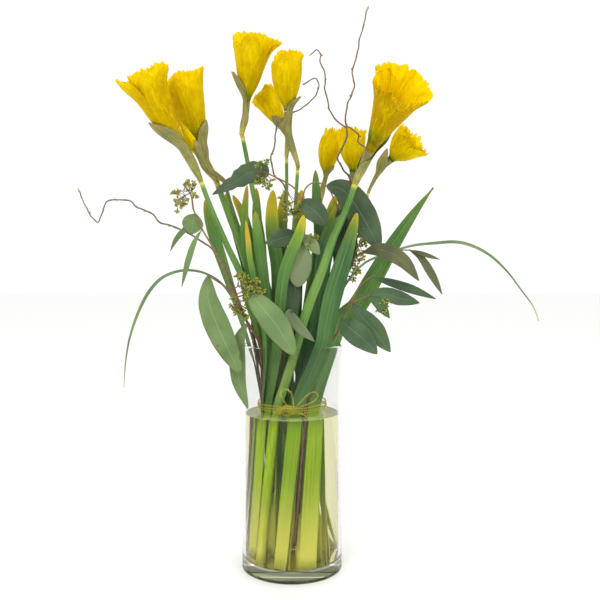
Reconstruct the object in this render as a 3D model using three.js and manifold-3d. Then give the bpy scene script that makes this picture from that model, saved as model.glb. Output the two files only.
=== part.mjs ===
// Vase of daffodils: a clear glass cylinder half full of water, with half-open daffodils, their strap
// leaves, seeded eucalyptus, curly willow and lily grass, tied with a thin green cord.
// Millimetres, +Z up, the origin at the centre of the vase's underside, the viewer on the -Y side.
import * as THREE from 'three';
import { mergeVertices } from 'three/addons/utils/BufferGeometryUtils.js';
import Module from 'manifold-3d';

const wasm = await Module();
wasm.setup();

// The vase and what stands in it
const vaseRadius = 44.6;
const vaseHeight = 199;
const vaseWall = 2.8;
const vaseFloor = 9.5;
const vaseSides = 36;
const waterLevel = 138;
const gap = 0.3;
const footHeight = vaseFloor + gap;

// The bundle: every stalk goes through the rim, is drawn in at the cord and opens again to its foot
const rimHeight = 200;
const tieHeight = 146;
const tieRadius = 30.5;
const cordRadius = 0.6;
const tieTurn = THREE.MathUtils.degToRad(-40);
const footTurn = THREE.MathUtils.degToRad(-72);
const footSpread = 1.34;
const footShift = 5;

const up = new THREE.Vector3(0, 0, 1);
const group = new THREE.Group();

function vec(point) {
  return new THREE.Vector3(point[0], point[1], point[2]);
}

function add(name, geometry, colour, roughness, metalness = 0) {
  const material = new THREE.MeshStandardMaterial({ color: colour, roughness, metalness });
  const mesh = new THREE.Mesh(geometry, material);
  mesh.name = name;
  group.add(mesh);
}

// Closed solids between three.js geometry and the boolean library
function toSolid(geometry) {
  const bare = geometry.index ? geometry.clone() : mergeVertices(geometry);
  bare.deleteAttribute('normal');
  bare.deleteAttribute('uv');
  const merged = mergeVertices(bare, 1e-4);
  const vertProperties = new Float32Array(merged.attributes.position.array);
  const triVerts = new Uint32Array(merged.index.array);
  const mesh = new wasm.Mesh({ numProp: 3, vertProperties, triVerts });
  mesh.merge();
  return new wasm.Manifold(mesh);
}

function toGeometry(solid) {
  const mesh = solid.getMesh();
  const geometry = new THREE.BufferGeometry();
  geometry.setAttribute('position', new THREE.BufferAttribute(new Float32Array(mesh.vertProperties), 3));
  geometry.setIndex(new THREE.BufferAttribute(new Uint32Array(mesh.triVerts), 1));
  return geometry;
}

function fuse(solids) {
  let whole = solids[0];
  for (const solid of solids.slice(1)) {
    whole = whole.add(solid);
  }
  return largestBody(whole);
}

function largestBody(solid) {
  const bodies = solid.decompose();
  bodies.sort((a, b) => b.volume() - a.volume());
  return bodies[0];
}

// A skin over rings that all have the same number of points, closed at both ends. The second half of
// each ring is cut into triangles the other way, so the back of a twisted blade follows its front.
function skin(rings) {
  const count = rings[0].length;
  const positions = rings.flat().flatMap((p) => [p.x, p.y, p.z]);
  const index = [];
  for (let r = 0; r + 1 < rings.length; r += 1) {
    for (let k = 0; k < count; k += 1) {
      const a = r * count + k;
      const b = r * count + (k + 1) % count;
      if (k < count / 2) {
        index.push(a, b, b + count, a, b + count, a + count);
      } else {
        index.push(a, b, a + count, b, b + count, a + count);
      }
    }
  }
  const last = (rings.length - 1) * count;
  for (let k = 1; k + 1 < count; k += 1) {
    index.push(0, k + 1, k, last, last + k, last + k + 1);
  }
  const geometry = new THREE.BufferGeometry();
  geometry.setAttribute('position', new THREE.Float32BufferAttribute(positions, 3));
  geometry.setIndex(index);
  return geometry;
}

// The frame of a section: along the line, across it, and out of its face
function sectionFrame(along, face) {
  const across = new THREE.Vector3().crossVectors(face, along).normalize();
  const out = new THREE.Vector3().crossVectors(along, across).normalize();
  return { across, out };
}

function placed(centre, frame, x, y) {
  return centre.clone().addScaledVector(frame.across, x).addScaledVector(frame.out, y);
}

function roundSection(centre, frame, radius, sides) {
  const ring = [];
  for (let k = 0; k < sides; k += 1) {
    const angle = (2 * Math.PI * k) / sides;
    ring.push(placed(centre, frame, radius * Math.cos(angle), radius * Math.sin(angle)));
  }
  return ring;
}

// A blade's section: two edges and a middle rib, folded a little along the middle
function bladeSection(centre, frame, half, edge, rib, fold) {
  return [
    placed(centre, frame, half, fold - edge),
    placed(centre, frame, half, fold + edge),
    placed(centre, frame, 0, rib),
    placed(centre, frame, -half, fold + edge),
    placed(centre, frame, -half, fold - edge),
    placed(centre, frame, 0, -rib),
  ];
}

// Points along a smooth line through the given ones, each with its direction and its share of the length
function along(points, perSpan) {
  const curve = new THREE.CatmullRomCurve3(points, false, 'centripetal');
  const steps = (points.length - 1) * perSpan;
  const stations = [];
  for (let i = 0; i <= steps; i += 1) {
    const t = i / steps;
    stations.push({ at: curve.getPoint(t), dir: curve.getTangent(t), t });
  }
  let length = 0;
  stations.forEach((station, i) => {
    length += i > 0 ? station.at.distanceTo(stations[i - 1].at) : 0;
    station.run = length;
  });
  for (const station of stations) {
    station.share = station.run / length;
  }
  return stations;
}

const facingViewer = new THREE.Vector3(0, -1, 0);

function faceTurned(angle) {
  return facingViewer.clone().applyAxisAngle(up, angle);
}

// Where a stalk that crosses the rim at x, y goes through the cord and where it stands
function atTie(x, y) {
  const radius = Math.hypot(x, y);
  const shrink = 1 - 0.0078 * radius;
  return new THREE.Vector3(x * shrink, y * shrink, tieHeight).applyAxisAngle(up, tieTurn);
}

function atFoot(x, y, height) {
  const tie = atTie(x, y);
  const foot = tie.clone().multiplyScalar(footSpread).applyAxisAngle(up, footTurn - tieTurn);
  foot.x += footShift;
  const share = (tieHeight - height) / (tieHeight - footHeight);
  return new THREE.Vector3(
    THREE.MathUtils.lerp(tie.x, foot.x, share),
    THREE.MathUtils.lerp(tie.y, foot.y, share),
    height,
  );
}

// Stations of a stalk: its foot in the water, cut level, then the smooth line from the cord up
function stalk(rim, upper, perSpan, foot = footHeight) {
  const tie = atTie(rim[0], rim[1]);
  const low = atFoot(rim[0], rim[1], foot);
  const stations = along([tie, new THREE.Vector3(rim[0], rim[1], rimHeight), ...upper.map(vec)], perSpan);
  return [{ at: low, dir: up, share: -1 }, ...stations];
}

// The turn of the bundle at a height, which the leaves' faces follow
function turnAt(height) {
  if (height >= rimHeight) {
    return 0;
  }
  if (height >= tieHeight) {
    return (tieTurn * (rimHeight - height)) / (rimHeight - tieHeight);
  }
  return tieTurn + ((footTurn - tieTurn) * (tieHeight - height)) / (tieHeight - footHeight);
}

// Every stalk in the water leaves a hole of its own, a gap wider than the stalk
const holes = [];

function boreWater(low, high, ringFor) {
  const below = { ...low, at: low.at.clone().addScaledVector(up, -2 * gap) };
  holes.push(toSolid(skin([ringFor(below), ringFor(high)])));
}

function roundStalk(stations, radius, sides, radiusAt = () => 1) {
  const ringFor = (grow) => (station) => {
    const frame = sectionFrame(station.dir, facingViewer);
    const r = radius * (station.share < 0 ? 1 : radiusAt(station.share)) + grow;
    return roundSection(station.at, frame, r, sides);
  };
  boreWater(stations[0], stations[1], ringFor(gap + 0.1));
  return skin(stations.map(ringFor(0)));
}

// A cord, twig or other round line away from the water
function roundLine(points, radius, sides, perSpan, radiusAt = () => 1) {
  const stations = along(points.map((p) => (p.isVector3 ? p : vec(p))), perSpan);
  return skin(stations.map((station) => {
    const frame = sectionFrame(station.dir, facingViewer);
    return roundSection(station.at, frame, radius * radiusAt(station.share), sides);
  }));
}

// A small leaf: a blade along a line, widest in the middle
function leafBlade(points, half, turn, steps = 4) {
  const curve = new THREE.CatmullRomCurve3(points.map(vec), false, 'centripetal');
  const face = faceTurned(turn);
  const rings = [];
  for (let i = 0; i <= steps; i += 1) {
    const share = i / steps;
    const width = Math.max(0.6, half * Math.sin(Math.PI * share) ** 0.8);
    const frame = sectionFrame(curve.getTangentAt(share), face);
    rings.push(bladeSection(curve.getPointAt(share), frame, width, 0.32, 0.5, 0.08 * width));
  }
  return skin(rings);
}

// Vase and water
function vase() {
  const inner = vaseRadius - vaseWall;
  const profile = [
    [0, 0], [vaseRadius - 1.2, 0], [vaseRadius, 1.2], [vaseRadius, vaseHeight - 0.8],
    [vaseRadius - vaseWall / 2, vaseHeight], [inner, vaseHeight - 0.8], [inner, vaseFloor], [0, vaseFloor],
  ];
  return upright(new THREE.LatheGeometry(profile.map(([r, z]) => new THREE.Vector2(r, z)), vaseSides));
}

function water() {
  const radius = vaseRadius - vaseWall - gap;
  const height = waterLevel - vaseFloor - gap;
  const body = new THREE.CylinderGeometry(radius, radius, height, vaseSides).rotateX(Math.PI / 2);
  body.translate(0, 0, vaseFloor + gap + height / 2);
  return toGeometry(largestBody(holes.reduce((rest, hole) => rest.subtract(hole), toSolid(body))));
}

function upright(geometry) {
  return toGeometry(toSolid(geometry.rotateX(Math.PI / 2)));
}

// The cord: three close turns round the bundle, a bow in front, and its loose end
function tie() {
  const turns = 3;
  const pitch = 2.2;
  const coil = [];
  const perTurn = 15;
  const steps = perTurn * turns;
  for (let i = 0; i <= steps; i += 1) {
    const angle = -Math.PI / 2 + (2 * Math.PI * i) / perTurn;
    const height = tieHeight - 3.9 + (pitch * turns * i) / steps;
    coil.push(new THREE.Vector3(tieRadius * Math.cos(angle), tieRadius * Math.sin(angle), height));
  }
  const bow = [
    [-1, -31.2, 142.5], [-9, -33.5, 150], [-10, -34.5, 157], [-4, -34.5, 158.5], [2, -33.5, 152],
    [6, -32.6, 146.5], [12, -32.6, 145], [17, -32.3, 149],
  ];
  const tail = [[0, -31.2, 149.5], [-5, -33, 146], [-12, -32.2, 143], [-15, -31.7, 139.4]];
  const knot = new THREE.IcosahedronGeometry(2.6, 0).translate(0, -31.5, 146);
  return toGeometry(fuse([
    toSolid(skin(coil.map((at, i) => {
      const next = coil[Math.min(i + 1, coil.length - 1)];
      const before = coil[Math.max(i - 1, 0)];
      return roundSection(at, sectionFrame(next.clone().sub(before).normalize(), up), cordRadius, 5);
    }))),
    toSolid(knot),
    toSolid(roundLine(bow, cordRadius, 5, 1)),
    toSolid(roundLine(tail, cordRadius, 5, 1)),
  ]));
}

// Daffodils. Each has the place where its stem crosses the rim, the stem's line above it, the base and
// the rim centre of the bloom, the tip of the papery spathe with half the angle it wraps, in degrees,
// and its sizes. A bloom's belly is its share of the full outline against the slim one, its foot the
// share of its radius at the base, its bend how far its middle bows aside, and loose names the tepals
// that stand off it. One spathe stands free: its own line and half its width are given instead.
const daffodils = [
  {
    rim: [-27, -13],
    stem: [
      [-31, -14, 215], [-39, -17, 239], [-44, -20, 260], [-56, -24, 286], [-69, -28, 317],
      [-78, -31, 341],
    ],
    base: [-92, -34, 371], mouth: [-123, -40, 435], spathe: [-120, -42, 389], wrap: 150,
    stemRadius: 3.1, radius: 18, roll: 28, belly: 0.6, foot: 0.22, bend: [-6, 0, 0],
    loose: { 2: 0.3, 3: 0.55 },
  },
  {
    rim: [-23, -1], stem: [[-27, -1, 225], [-34, -2, 250], [-47, -3, 290], [-56, -4, 313], [-67, -4, 343]],
    base: [-81, -4, 373], mouth: [-98, 0, 440], spathe: [-76, -7, 399], wrap: 80,
    stemRadius: 3.8, radius: 17, roll: 0, belly: 1.1, foot: 0.22, bend: [-2, 0, 0],
  },
  {
    rim: [-19, 15],
    stem: [
      [-22, 13, 238], [-25, 12, 265], [-27, 11, 293], [-31, 10, 316], [-36, 9, 339], [-41, 10, 366],
      [-45, 11, 386],
    ],
    base: [-41, 12, 420], mouth: [-36, 10, 478], spathe: [-55, 8, 446], wrap: 80,
    stemRadius: 2.9, radius: 18.5, roll: 25, belly: 0.5, foot: 0.14, bend: [0, 0, 0],
    loose: { 0: 0.3 },
  },
  {
    rim: [-1, 1], stem: [[0, 1, 256], [1, 1, 293], [3, 1, 320], [5, 0, 355]],
    base: [-4, -3, 408], mouth: [-5, -12, 458], spathe: [8, -9, 420], wrap: 85,
    stemRadius: 2.3, radius: 14, roll: 5, belly: 1.25, foot: 0.24, bend: [0, 0, 0],
  },
  {
    rim: [-6, 11], stem: [[-7, 13, 238], [-7, 15, 274], [-6, 17, 311], [-5, 18, 337], [-5, 18, 367]],
    base: [-8, 20, 397], mouth: [-26, 36, 430], spathe: [-19, 14, 407], wrap: 80,
    stemRadius: 2.3, radius: 12.5, roll: 40, belly: 0.6, foot: 0.2, bend: [0, 0, 0],
  },
  {
    rim: [8, 10], stem: [[13, 14, 238], [17, 18, 265], [22, 22, 293], [27, 26, 328]],
    base: [31, 30, 353], mouth: [40, 26, 396], spathe: [39, 26, 363], wrap: 80,
    stemRadius: 2, radius: 10.5, roll: 15, belly: 1.5, foot: 0.14, bend: [-1, 0, 0],
  },
  {
    rim: [15, 2], stem: [[24, 4, 243], [32, 5, 273], [40, 6, 302], [47, 7, 322], [51, 8, 334]],
    base: [55, 7, 355], mouth: [53, -6, 392], spathe: [62, 13, 366], wrap: 80,
    stemRadius: 2, radius: 12.8, roll: 30, belly: 1.2, foot: 0.2, bend: [0, 0, 0],
  },
  {
    rim: [4, -31],
    stem: [
      [9, -32, 219], [16, -33, 240], [26, -34, 266], [35, -34, 292], [46, -34, 317], [54, -34, 339],
    ],
    base: [67, -38, 369], mouth: [88, -87, 415], spathe: [86, -40, 384], wrap: 75,
    stemRadius: 4, radius: 24, roll: 0, belly: 0, foot: 0.2, bend: [0, 0, 0],
  },
  {
    rim: [25, -8], stem: [[33, -7, 239], [43, -6, 270], [54, -5, 297], [63, -5, 321], [68, -5, 334]],
    base: [88, -8, 364], mouth: [107, -18, 382], sheathHalf: 5.5,
    sheath: [[75, -6, 348], [79, -12, 361], [84, -15, 373]],
    stemRadius: 2.1, radius: 16, roll: 12, belly: 0.95, foot: 0.2, bend: [0, 0, 0],
    loose: { 5: 0.2 },
  },
  {
    rim: [-24, 8],
    stem: [
      [-27, 11, 229], [-33, 12, 256], [-43, 10, 290], [-50, 8, 308], [-55, 5, 324], [-59.5, -3, 341],
    ],
    base: [-82, -20, 367], mouth: [-98, -21, 395], spathe: [-84.5, -24, 379], wrap: 78,
    stemRadius: 2.4, radius: 4.4, roll: 35, belly: 1, foot: 0.6, bend: [0, 0, 0], closed: true,
  },
];

const yellow = 0xf2c40c;
const papery = 0xb8a56a;
const stemGreen = 0x6fa34c;

// Outlines of a bloom, as shares of its length against shares of its mouth's radius
const slimOutline = [[0, 0.2], [0.3, 0.37], [0.6, 0.6], [0.84, 0.86], [1, 1.1]];
const fullOutline = [[0, 0.2], [0.3, 0.6], [0.6, 0.87], [0.84, 0.93], [1, 1]];
const budOutline = [[0, 0.6], [0.18, 1], [0.45, 0.95], [0.75, 0.6], [1, 0.12]];
// Shares of a bloom's length with half the angle of an outer tepal there
const tepalRows = [
  [0, 0.6], [0.05, 0.66], [0.2, 0.76], [0.38, 0.8], [0.56, 0.74], [0.7, 0.56], [0.8, 0.34], [0.87, 0.06],
];
const rimRows = [0.9, 0.96, 1];
const throatRows = [[0.96, 0.92], [0.84, 0.84], [0.55, 0.76], [0.3, 0.5]];
const tepalLayer = 0.8;
const rimFrill = 0.03;
const stemTaper = 0.66;

function ease(value, low, high) {
  return THREE.MathUtils.smoothstep(value, low, high);
}

function trumpetRadius(flower, row) {
  if (flower.closed) {
    return flower.radius * budOutline[row][1];
  }
  const wide = THREE.MathUtils.lerp(slimOutline[row][1], fullOutline[row][1], flower.belly);
  return flower.radius * (row === 0 ? flower.foot : wide);
}

function radiusAlong(flower, share) {
  const outline = flower.closed ? budOutline : slimOutline;
  const row = Math.min(3, Math.max(0, outline.findIndex(([z]) => z > share) - 1));
  const low = outline[row][0];
  const high = outline[row + 1][0];
  const part = Math.min(1, (share - low) / (high - low));
  return THREE.MathUtils.lerp(trumpetRadius(flower, row), trumpetRadius(flower, row + 1), part);
}

// A ring of a bloom: three outer tepals over three inner ones, each with a rib, then the bare trumpet
function bloomRing(flower, length, share, half, layer, frill = 0) {
  const radius = radiusAlong(flower, share);
  const ring = [];
  for (let pair = 0; pair < 3; pair += 1) {
    const inner = (2 * Math.PI * pair) / 3;
    const outer = inner + Math.PI / 3;
    const places = [
      [inner, 0.7 * layer], [outer - half - 0.05, 0.3 * layer], [outer - half, 1.5 * layer],
      [outer, 2 * layer], [outer + half, 1.5 * layer], [outer + half + 0.05, 0.3 * layer],
    ];
    for (const [angle, lift] of places) {
      const wave = frill * (ring.length % 2 === 0 ? 1 : -1);
      const out = radius * (1 + 1.5 * wave) + lift;
      const height = length * (share + wave);
      ring.push(new THREE.Vector3(out * Math.cos(angle), out * Math.sin(angle), height));
    }
  }
  return ring;
}

function trumpet(flower, length) {
  const bud = flower.closed === true;
  const layer = bud ? 0.3 : tepalLayer;
  const rings = tepalRows.map(([share, half]) => {
    return bloomRing(flower, length, share, half, layer * ease(share, 0, 0.1));
  });
  if (bud) {
    return skin([...rings, bloomRing(flower, length, 1, 0.5, 0)]);
  }
  for (const share of rimRows) {
    const thin = share < 0.95 ? 0.3 * layer : 0;
    rings.push(bloomRing(flower, length, share, 0.3, thin, share === 1 ? rimFrill : 0));
  }
  for (const [share, part] of throatRows) {
    const throat = bloomRing(flower, length, share, 0.3, 0);
    rings.push(throat.map((point) => new THREE.Vector3(part * point.x, part * point.y, point.z)));
  }
  return skin(rings);
}

// A tepal that stands off the trumpet near its tip. Its places are shares of the bloom's length, each with
// its lift off the trumpet, half its width as a share of the mouth's radius, and its share of the stand-off.
function looseTepal(flower, length, number, loose) {
  const angle = (Math.PI * number) / 3;
  const out = new THREE.Vector3(Math.cos(angle), Math.sin(angle), 0);
  const places = [[0.42, -1.2, 0.3, 0], [0.62, 1.2, 0.5, 0], [0.84, 0.45, 0.45, 0.35], [1.02, 0, 0.08, 1]];
  const points = places.map(([share, lift, , apart]) => {
    const radius = radiusAlong(flower, share) + 1 + lift + apart * loose * flower.radius;
    return out.clone().multiplyScalar(radius).setZ(share * length);
  });
  const rings = points.map((point, i) => {
    const next = points[Math.min(i + 1, 3)];
    const before = points[Math.max(i - 1, 0)];
    const frame = sectionFrame(next.clone().sub(before).normalize(), out);
    const width = places[i][2] * flower.radius;
    return bladeSection(point, frame, width, 0.32, 0.4, -0.25 * width);
  });
  return toSolid(skin(rings));
}

function bloom(flower) {
  const base = vec(flower.base);
  const axis = vec(flower.mouth).sub(base);
  const length = axis.length();
  const parts = [toSolid(trumpet(flower, length))];
  for (const [number, loose] of Object.entries(flower.loose ?? {})) {
    parts.push(looseTepal(flower, length, Number(number), loose));
  }
  const geometry = toGeometry(fuse(parts)).rotateZ(THREE.MathUtils.degToRad(flower.roll));
  const turn = new THREE.Quaternion().setFromUnitVectors(up, axis.normalize());
  geometry.applyQuaternion(turn).translate(base.x, base.y, base.z);
  const position = geometry.attributes.position;
  for (let i = 0; i < position.count; i += 1) {
    const point = new THREE.Vector3().fromBufferAttribute(position, i);
    const share = point.clone().sub(base).dot(axis) / length;
    point.add(bowed(flower, share));
    position.setXYZ(i, point.x, point.y, point.z);
  }
  return geometry;
}

function bowed(flower, share) {
  return vec(flower.bend).multiplyScalar(4 * Math.max(0, share * (1 - share)));
}

// A thin shell's section: an arc of seven points whose chords stay outside the given radius
function shellSection(centre, dir, outward, radius, half, thickness) {
  const { across, out } = sectionFrame(dir, outward);
  const clear = radius / Math.cos(half / 6);
  const outer = [];
  const inner = [];
  for (let k = 0; k < 7; k += 1) {
    const angle = half * (1 - k / 3);
    const way = out.clone().multiplyScalar(Math.cos(angle)).addScaledVector(across, Math.sin(angle));
    outer.push(centre.clone().addScaledVector(way, clear + thickness));
    inner.unshift(centre.clone().addScaledVector(way, clear));
  }
  return [...outer, ...inner];
}

// The green-brown neck between stem and bloom, with the papery spathe that wraps the bloom's foot
function spathe(flower) {
  const top = vec(flower.stem[flower.stem.length - 1]);
  const way = top.clone().sub(vec(flower.stem[flower.stem.length - 2])).normalize();
  const start = top.clone().addScaledVector(way, gap);
  const base = vec(flower.base);
  const axis = vec(flower.mouth).sub(base);
  const length = axis.length();
  axis.normalize();
  const end = base.clone().addScaledVector(axis, -gap);
  const middle = end.clone().addScaledVector(axis, -0.35 * end.distanceTo(start));
  const first = start.clone().addScaledVector(way, 4);
  const foot = radiusAlong(flower, 0);
  const stations = along([start, first, middle, end], 1);
  const neck = skin(stations.map((station) => {
    const radius = THREE.MathUtils.lerp(stemTaper * flower.stemRadius, foot, station.share ** 1.5);
    return roundSection(station.at, sectionFrame(station.dir, facingViewer), radius, 8);
  }));
  const parts = [toSolid(neck)];
  if (flower.sheath) {
    parts.push(toSolid(openSheath(flower)));
  } else {
    parts.push(toSolid(closeSheath(flower, middle, end, foot)));
  }
  return toGeometry(fuse(parts));
}

// A spathe that stands free of the bloom: a broad blade folded towards it
function openSheath(flower) {
  const widths = [0.3, 0.75, 1, 0.7, 0.1];
  const stations = along(flower.sheath.map(vec), 2);
  const face = faceTurned(-0.5);
  return skin(stations.map((station, i) => {
    const width = flower.sheathHalf * widths[i];
    return bladeSection(station.at, sectionFrame(station.dir, face), width, 0.32, 0.35, -0.3 * width);
  }));
}

// A spathe that hugs the bloom's foot: a shell that narrows to its tip
function closeSheath(flower, middle, end, foot) {
  const base = vec(flower.base);
  const axis = vec(flower.mouth).sub(base);
  const length = axis.length();
  axis.normalize();
  const tip = vec(flower.spathe);
  const tipShare = Math.max(0.05, tip.clone().sub(base).dot(axis) / length);
  const crown = base.clone().addScaledVector(axis, tipShare * length);
  const farOff = tip.distanceTo(crown.clone().add(bowed(flower, tipShare)));
  const away = tip.clone().sub(crown);
  const layers = flower.closed ? 0.6 : 2 * tepalLayer;
  return skin([-0.45, 0, 0.4, 0.75, 1].map((step) => {
    const share = step * tipShare;
    const onNeck = new THREE.Vector3().lerpVectors(middle, end, 1 + step);
    const onBloom = base.clone().addScaledVector(axis, share * length).add(bowed(flower, share));
    const at = step < 0 ? onNeck : onBloom;
    const close = step < 0 ? 0.45 * foot : 1.05 * radiusAlong(flower, share) + layers + 0.4;
    const stand = 0.05 * flower.radius * Math.sin(Math.PI * Math.max(0, step));
    const radius = THREE.MathUtils.lerp(close, Math.max(close, farOff), Math.max(0, step) ** 3) + stand;
    const narrowing = step < 0 ? 1 : 1 - 0.93 * step ** 1.6;
    return shellSection(at, axis, away, radius, THREE.MathUtils.degToRad(flower.wrap) * narrowing, 0.65);
  }));
}

daffodils.forEach((flower, i) => {
  const stations = stalk(flower.rim, flower.stem, 1);
  const taper = (share) => 1 - (1 - stemTaper) * ease(share, 0.5, 1);
  add(`daffodil_${i + 1}_stem`, roundStalk(stations, flower.stemRadius, 8, taper), stemGreen, 0.5);
  add(`daffodil_${i + 1}_spathe`, spathe(flower), papery, 0.7);
  add(`daffodil_${i + 1}_bloom`, bloom(flower), yellow, 0.55);
});

// Daffodil leaves: where each crosses the rim, the way its face is turned there, its line above the
// rim to its tip, the turn of its face at the tip, half its width, and how blunt its tip is
const leaves = [
  {
    rim: [37.5, -4], turn: 84, topTurn: 5, half: 6.4,
    upper: [
      [44, -9, 222], [57, -8, 233], [73, -4, 258], [92, 0, 290], [111, 2, 318], [128, 4, 340],
    ],
  },
  {
    rim: [26, -24], turn: 38, topTurn: 0, half: 6.6,
    upper: [
      [31, -25, 215], [40, -26, 240], [50, -27, 270], [57, -28, 296], [62, -29, 315],
    ],
  },
  {
    rim: [-13, -27.5], turn: 0, topTurn: 15, half: 5.2,
    upper: [
      [-11, -30, 230], [-7, -31, 262], [-1, -32, 280], [6, -33, 297], [10, -35, 313],
    ],
  },
  {
    rim: [-21, -20.5], turn: 0, topTurn: 0, half: 4.8,
    upper: [
      [-23, -20, 240], [-26, -20, 270], [-30, -20, 296], [-32, -20, 317],
    ],
  },
  {
    rim: [-11, -12], turn: 0, topTurn: 0, half: 6.2,
    upper: [
      [-12, -10, 239], [-13, -8, 270], [-17, -6, 297], [-18, -5, 319], [-17, -4, 337],
    ],
  },
  {
    rim: [-9, -5.5], turn: 0, topTurn: 0, half: 4,
    upper: [
      [-10, -2, 238], [-10, 0, 265], [-10, 3, 293], [-10, 6, 315], [-8, 8, 336],
    ],
  },
  {
    rim: [-20.5, -7], turn: 0, topTurn: 20, half: 3.6,
    upper: [
      [-30, -8, 230], [-38, -9, 261], [-42, -9, 292], [-42, -9, 319], [-40, -8, 341],
    ],
  },
  {
    rim: [-23, -30.5], turn: -37, topTurn: 0, half: 2.5,
    upper: [
      [-29, -28, 240], [-36, -28, 274], [-38, -28, 292], [-40, -27, 309],
    ],
  },
  {
    rim: [-28, 20], turn: -125, topTurn: -160, half: 5,
    upper: [
      [-28, 22, 240], [-29, 22, 265], [-32, 20, 311], [-33, 19, 341],
    ],
  },
  {
    rim: [-36.9, -14.4], turn: -68, topTurn: -55, half: 4.6,
    upper: [
      [-41, -17, 213], [-49, -19, 239], [-58, -20, 266], [-66, -20, 290], [-72, -20, 310],
      [-76, -20, 327],
    ],
  },
  {
    rim: [-33.5, 8], turn: -102, topTurn: -140, half: 4.6,
    upper: [
      [-36, 7, 229], [-42, 7, 265], [-50, 8, 297], [-55, 10, 320], [-61, 11, 335],
    ],
  },
  {
    rim: [-14, 23], turn: -180, topTurn: -160, half: 5,
    upper: [
      [-24, 32, 247], [-38, 33, 288], [-46, 34, 317], [-56, 38, 336],
    ],
  },
  {
    rim: [10, -4], turn: 0, topTurn: 0, half: 3.8,
    upper: [
      [15, -6, 229], [22, -7, 270], [24, -6, 300], [22, -4, 328], [21, -3, 355],
    ],
  },
  {
    rim: [4, 17], turn: 0, topTurn: 0, half: 5,
    upper: [
      [4, 22, 247], [6, 25, 293], [8, 27, 325], [9, 28, 340],
    ],
  },
  {
    rim: [17, 14], turn: 0, topTurn: 0, half: 5,
    upper: [
      [22, 17, 242], [29, 20, 284], [36, 20, 316], [40, 20, 334],
    ],
  },
  {
    rim: [21, -16], turn: 0, topTurn: 0, half: 4.4,
    upper: [
      [24, -19, 240], [27, -20, 273], [33, -20, 296], [39, -20, 314], [43, -20, 325],
    ],
  },
];

// The half width of a strap leaf against the share of its length: even, then rounding in to the tip
function strapWidth(share) {
  const start = 0.8;
  if (share < start) {
    return 0.86 + (0.14 * Math.max(0, share)) / start;
  }
  const rest = (share - start) / (1 - start);
  return Math.max(0.12, Math.sqrt(1 - rest * rest));
}

function strapLeaf(leaf) {
  const stations = stalk(leaf.rim, leaf.upper, 1);
  const ringFor = (grow) => (station) => {
    const share = Math.max(0, station.share);
    const settled = THREE.MathUtils.smoothstep(share, 0.3, 1);
    const turn = THREE.MathUtils.degToRad(THREE.MathUtils.lerp(leaf.turn, leaf.topTurn, settled));
    const face = faceTurned(turn + turnAt(station.at.z));
    const frame = sectionFrame(station.dir, face);
    const half = leaf.half * strapWidth(station.share) + grow;
    return bladeSection(station.at, frame, half, 0.36 + grow, 0.65 + grow, 0.07 * half);
  };
  boreWater(stations[0], stations[1], ringFor(gap + 0.1));
  return skin(stations.map(ringFor(0)));
}

leaves.forEach((leaf, i) => {
  add(`daffodil_leaf_${i + 1}`, strapLeaf(leaf), 0x5f9a55, 0.5);
});

// Lily grass: two long narrow blades that arch out over the rim
const grasses = [
  {
    rim: [-39.2, -4], turn: -85, half: 1.7,
    upper: [
      [-45, -9, 222], [-52, -14, 240], [-61, -17, 253], [-72, -19, 261], [-84, -20, 265],
      [-98, -21, 265], [-113, -24, 259], [-124, -26, 247], [-133, -28, 229], [-140, -30, 207],
      [-143, -32, 187], [-144, -34, 165],
    ],
  },
  {
    rim: [24.5, -21.2], turn: 38, half: 1.8,
    upper: [
      [31, -21.5, 218], [41, -22.5, 243], [53, -22.5, 262], [62, -26, 271], [70, -36, 276],
      [82, -41, 280], [92, -41, 284], [104, -39, 287], [122, -36, 289], [141, -32, 290],
      [155, -29, 287], [171, -26, 279], [187, -23, 265], [200, -20, 249], [212, -18, 233],
      [217, -16, 221],
    ],
  },
];

function grass(blade) {
  const stations = stalk(blade.rim, blade.upper, 1, 40);
  const ringFor = (grow) => (station) => {
    const settled = THREE.MathUtils.smoothstep(station.share, 0, 0.35);
    const turn = THREE.MathUtils.degToRad(blade.turn) * (1 - settled);
    const frame = sectionFrame(station.dir, faceTurned(turn + turnAt(station.at.z)));
    const half = blade.half * (station.share > 0.7 ? 1.3 - 0.9 * station.share : 1) + grow;
    return bladeSection(station.at, frame, half, 0.32 + grow, 0.4 + grow, 0.05 * half);
  };
  boreWater(stations[0], stations[1], ringFor(gap + 0.1));
  return skin(stations.map(ringFor(0)));
}

grasses.forEach((blade, i) => {
  add(`lily_grass_${i + 1}`, grass(blade), 0x6da25a, 0.5);
});

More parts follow.
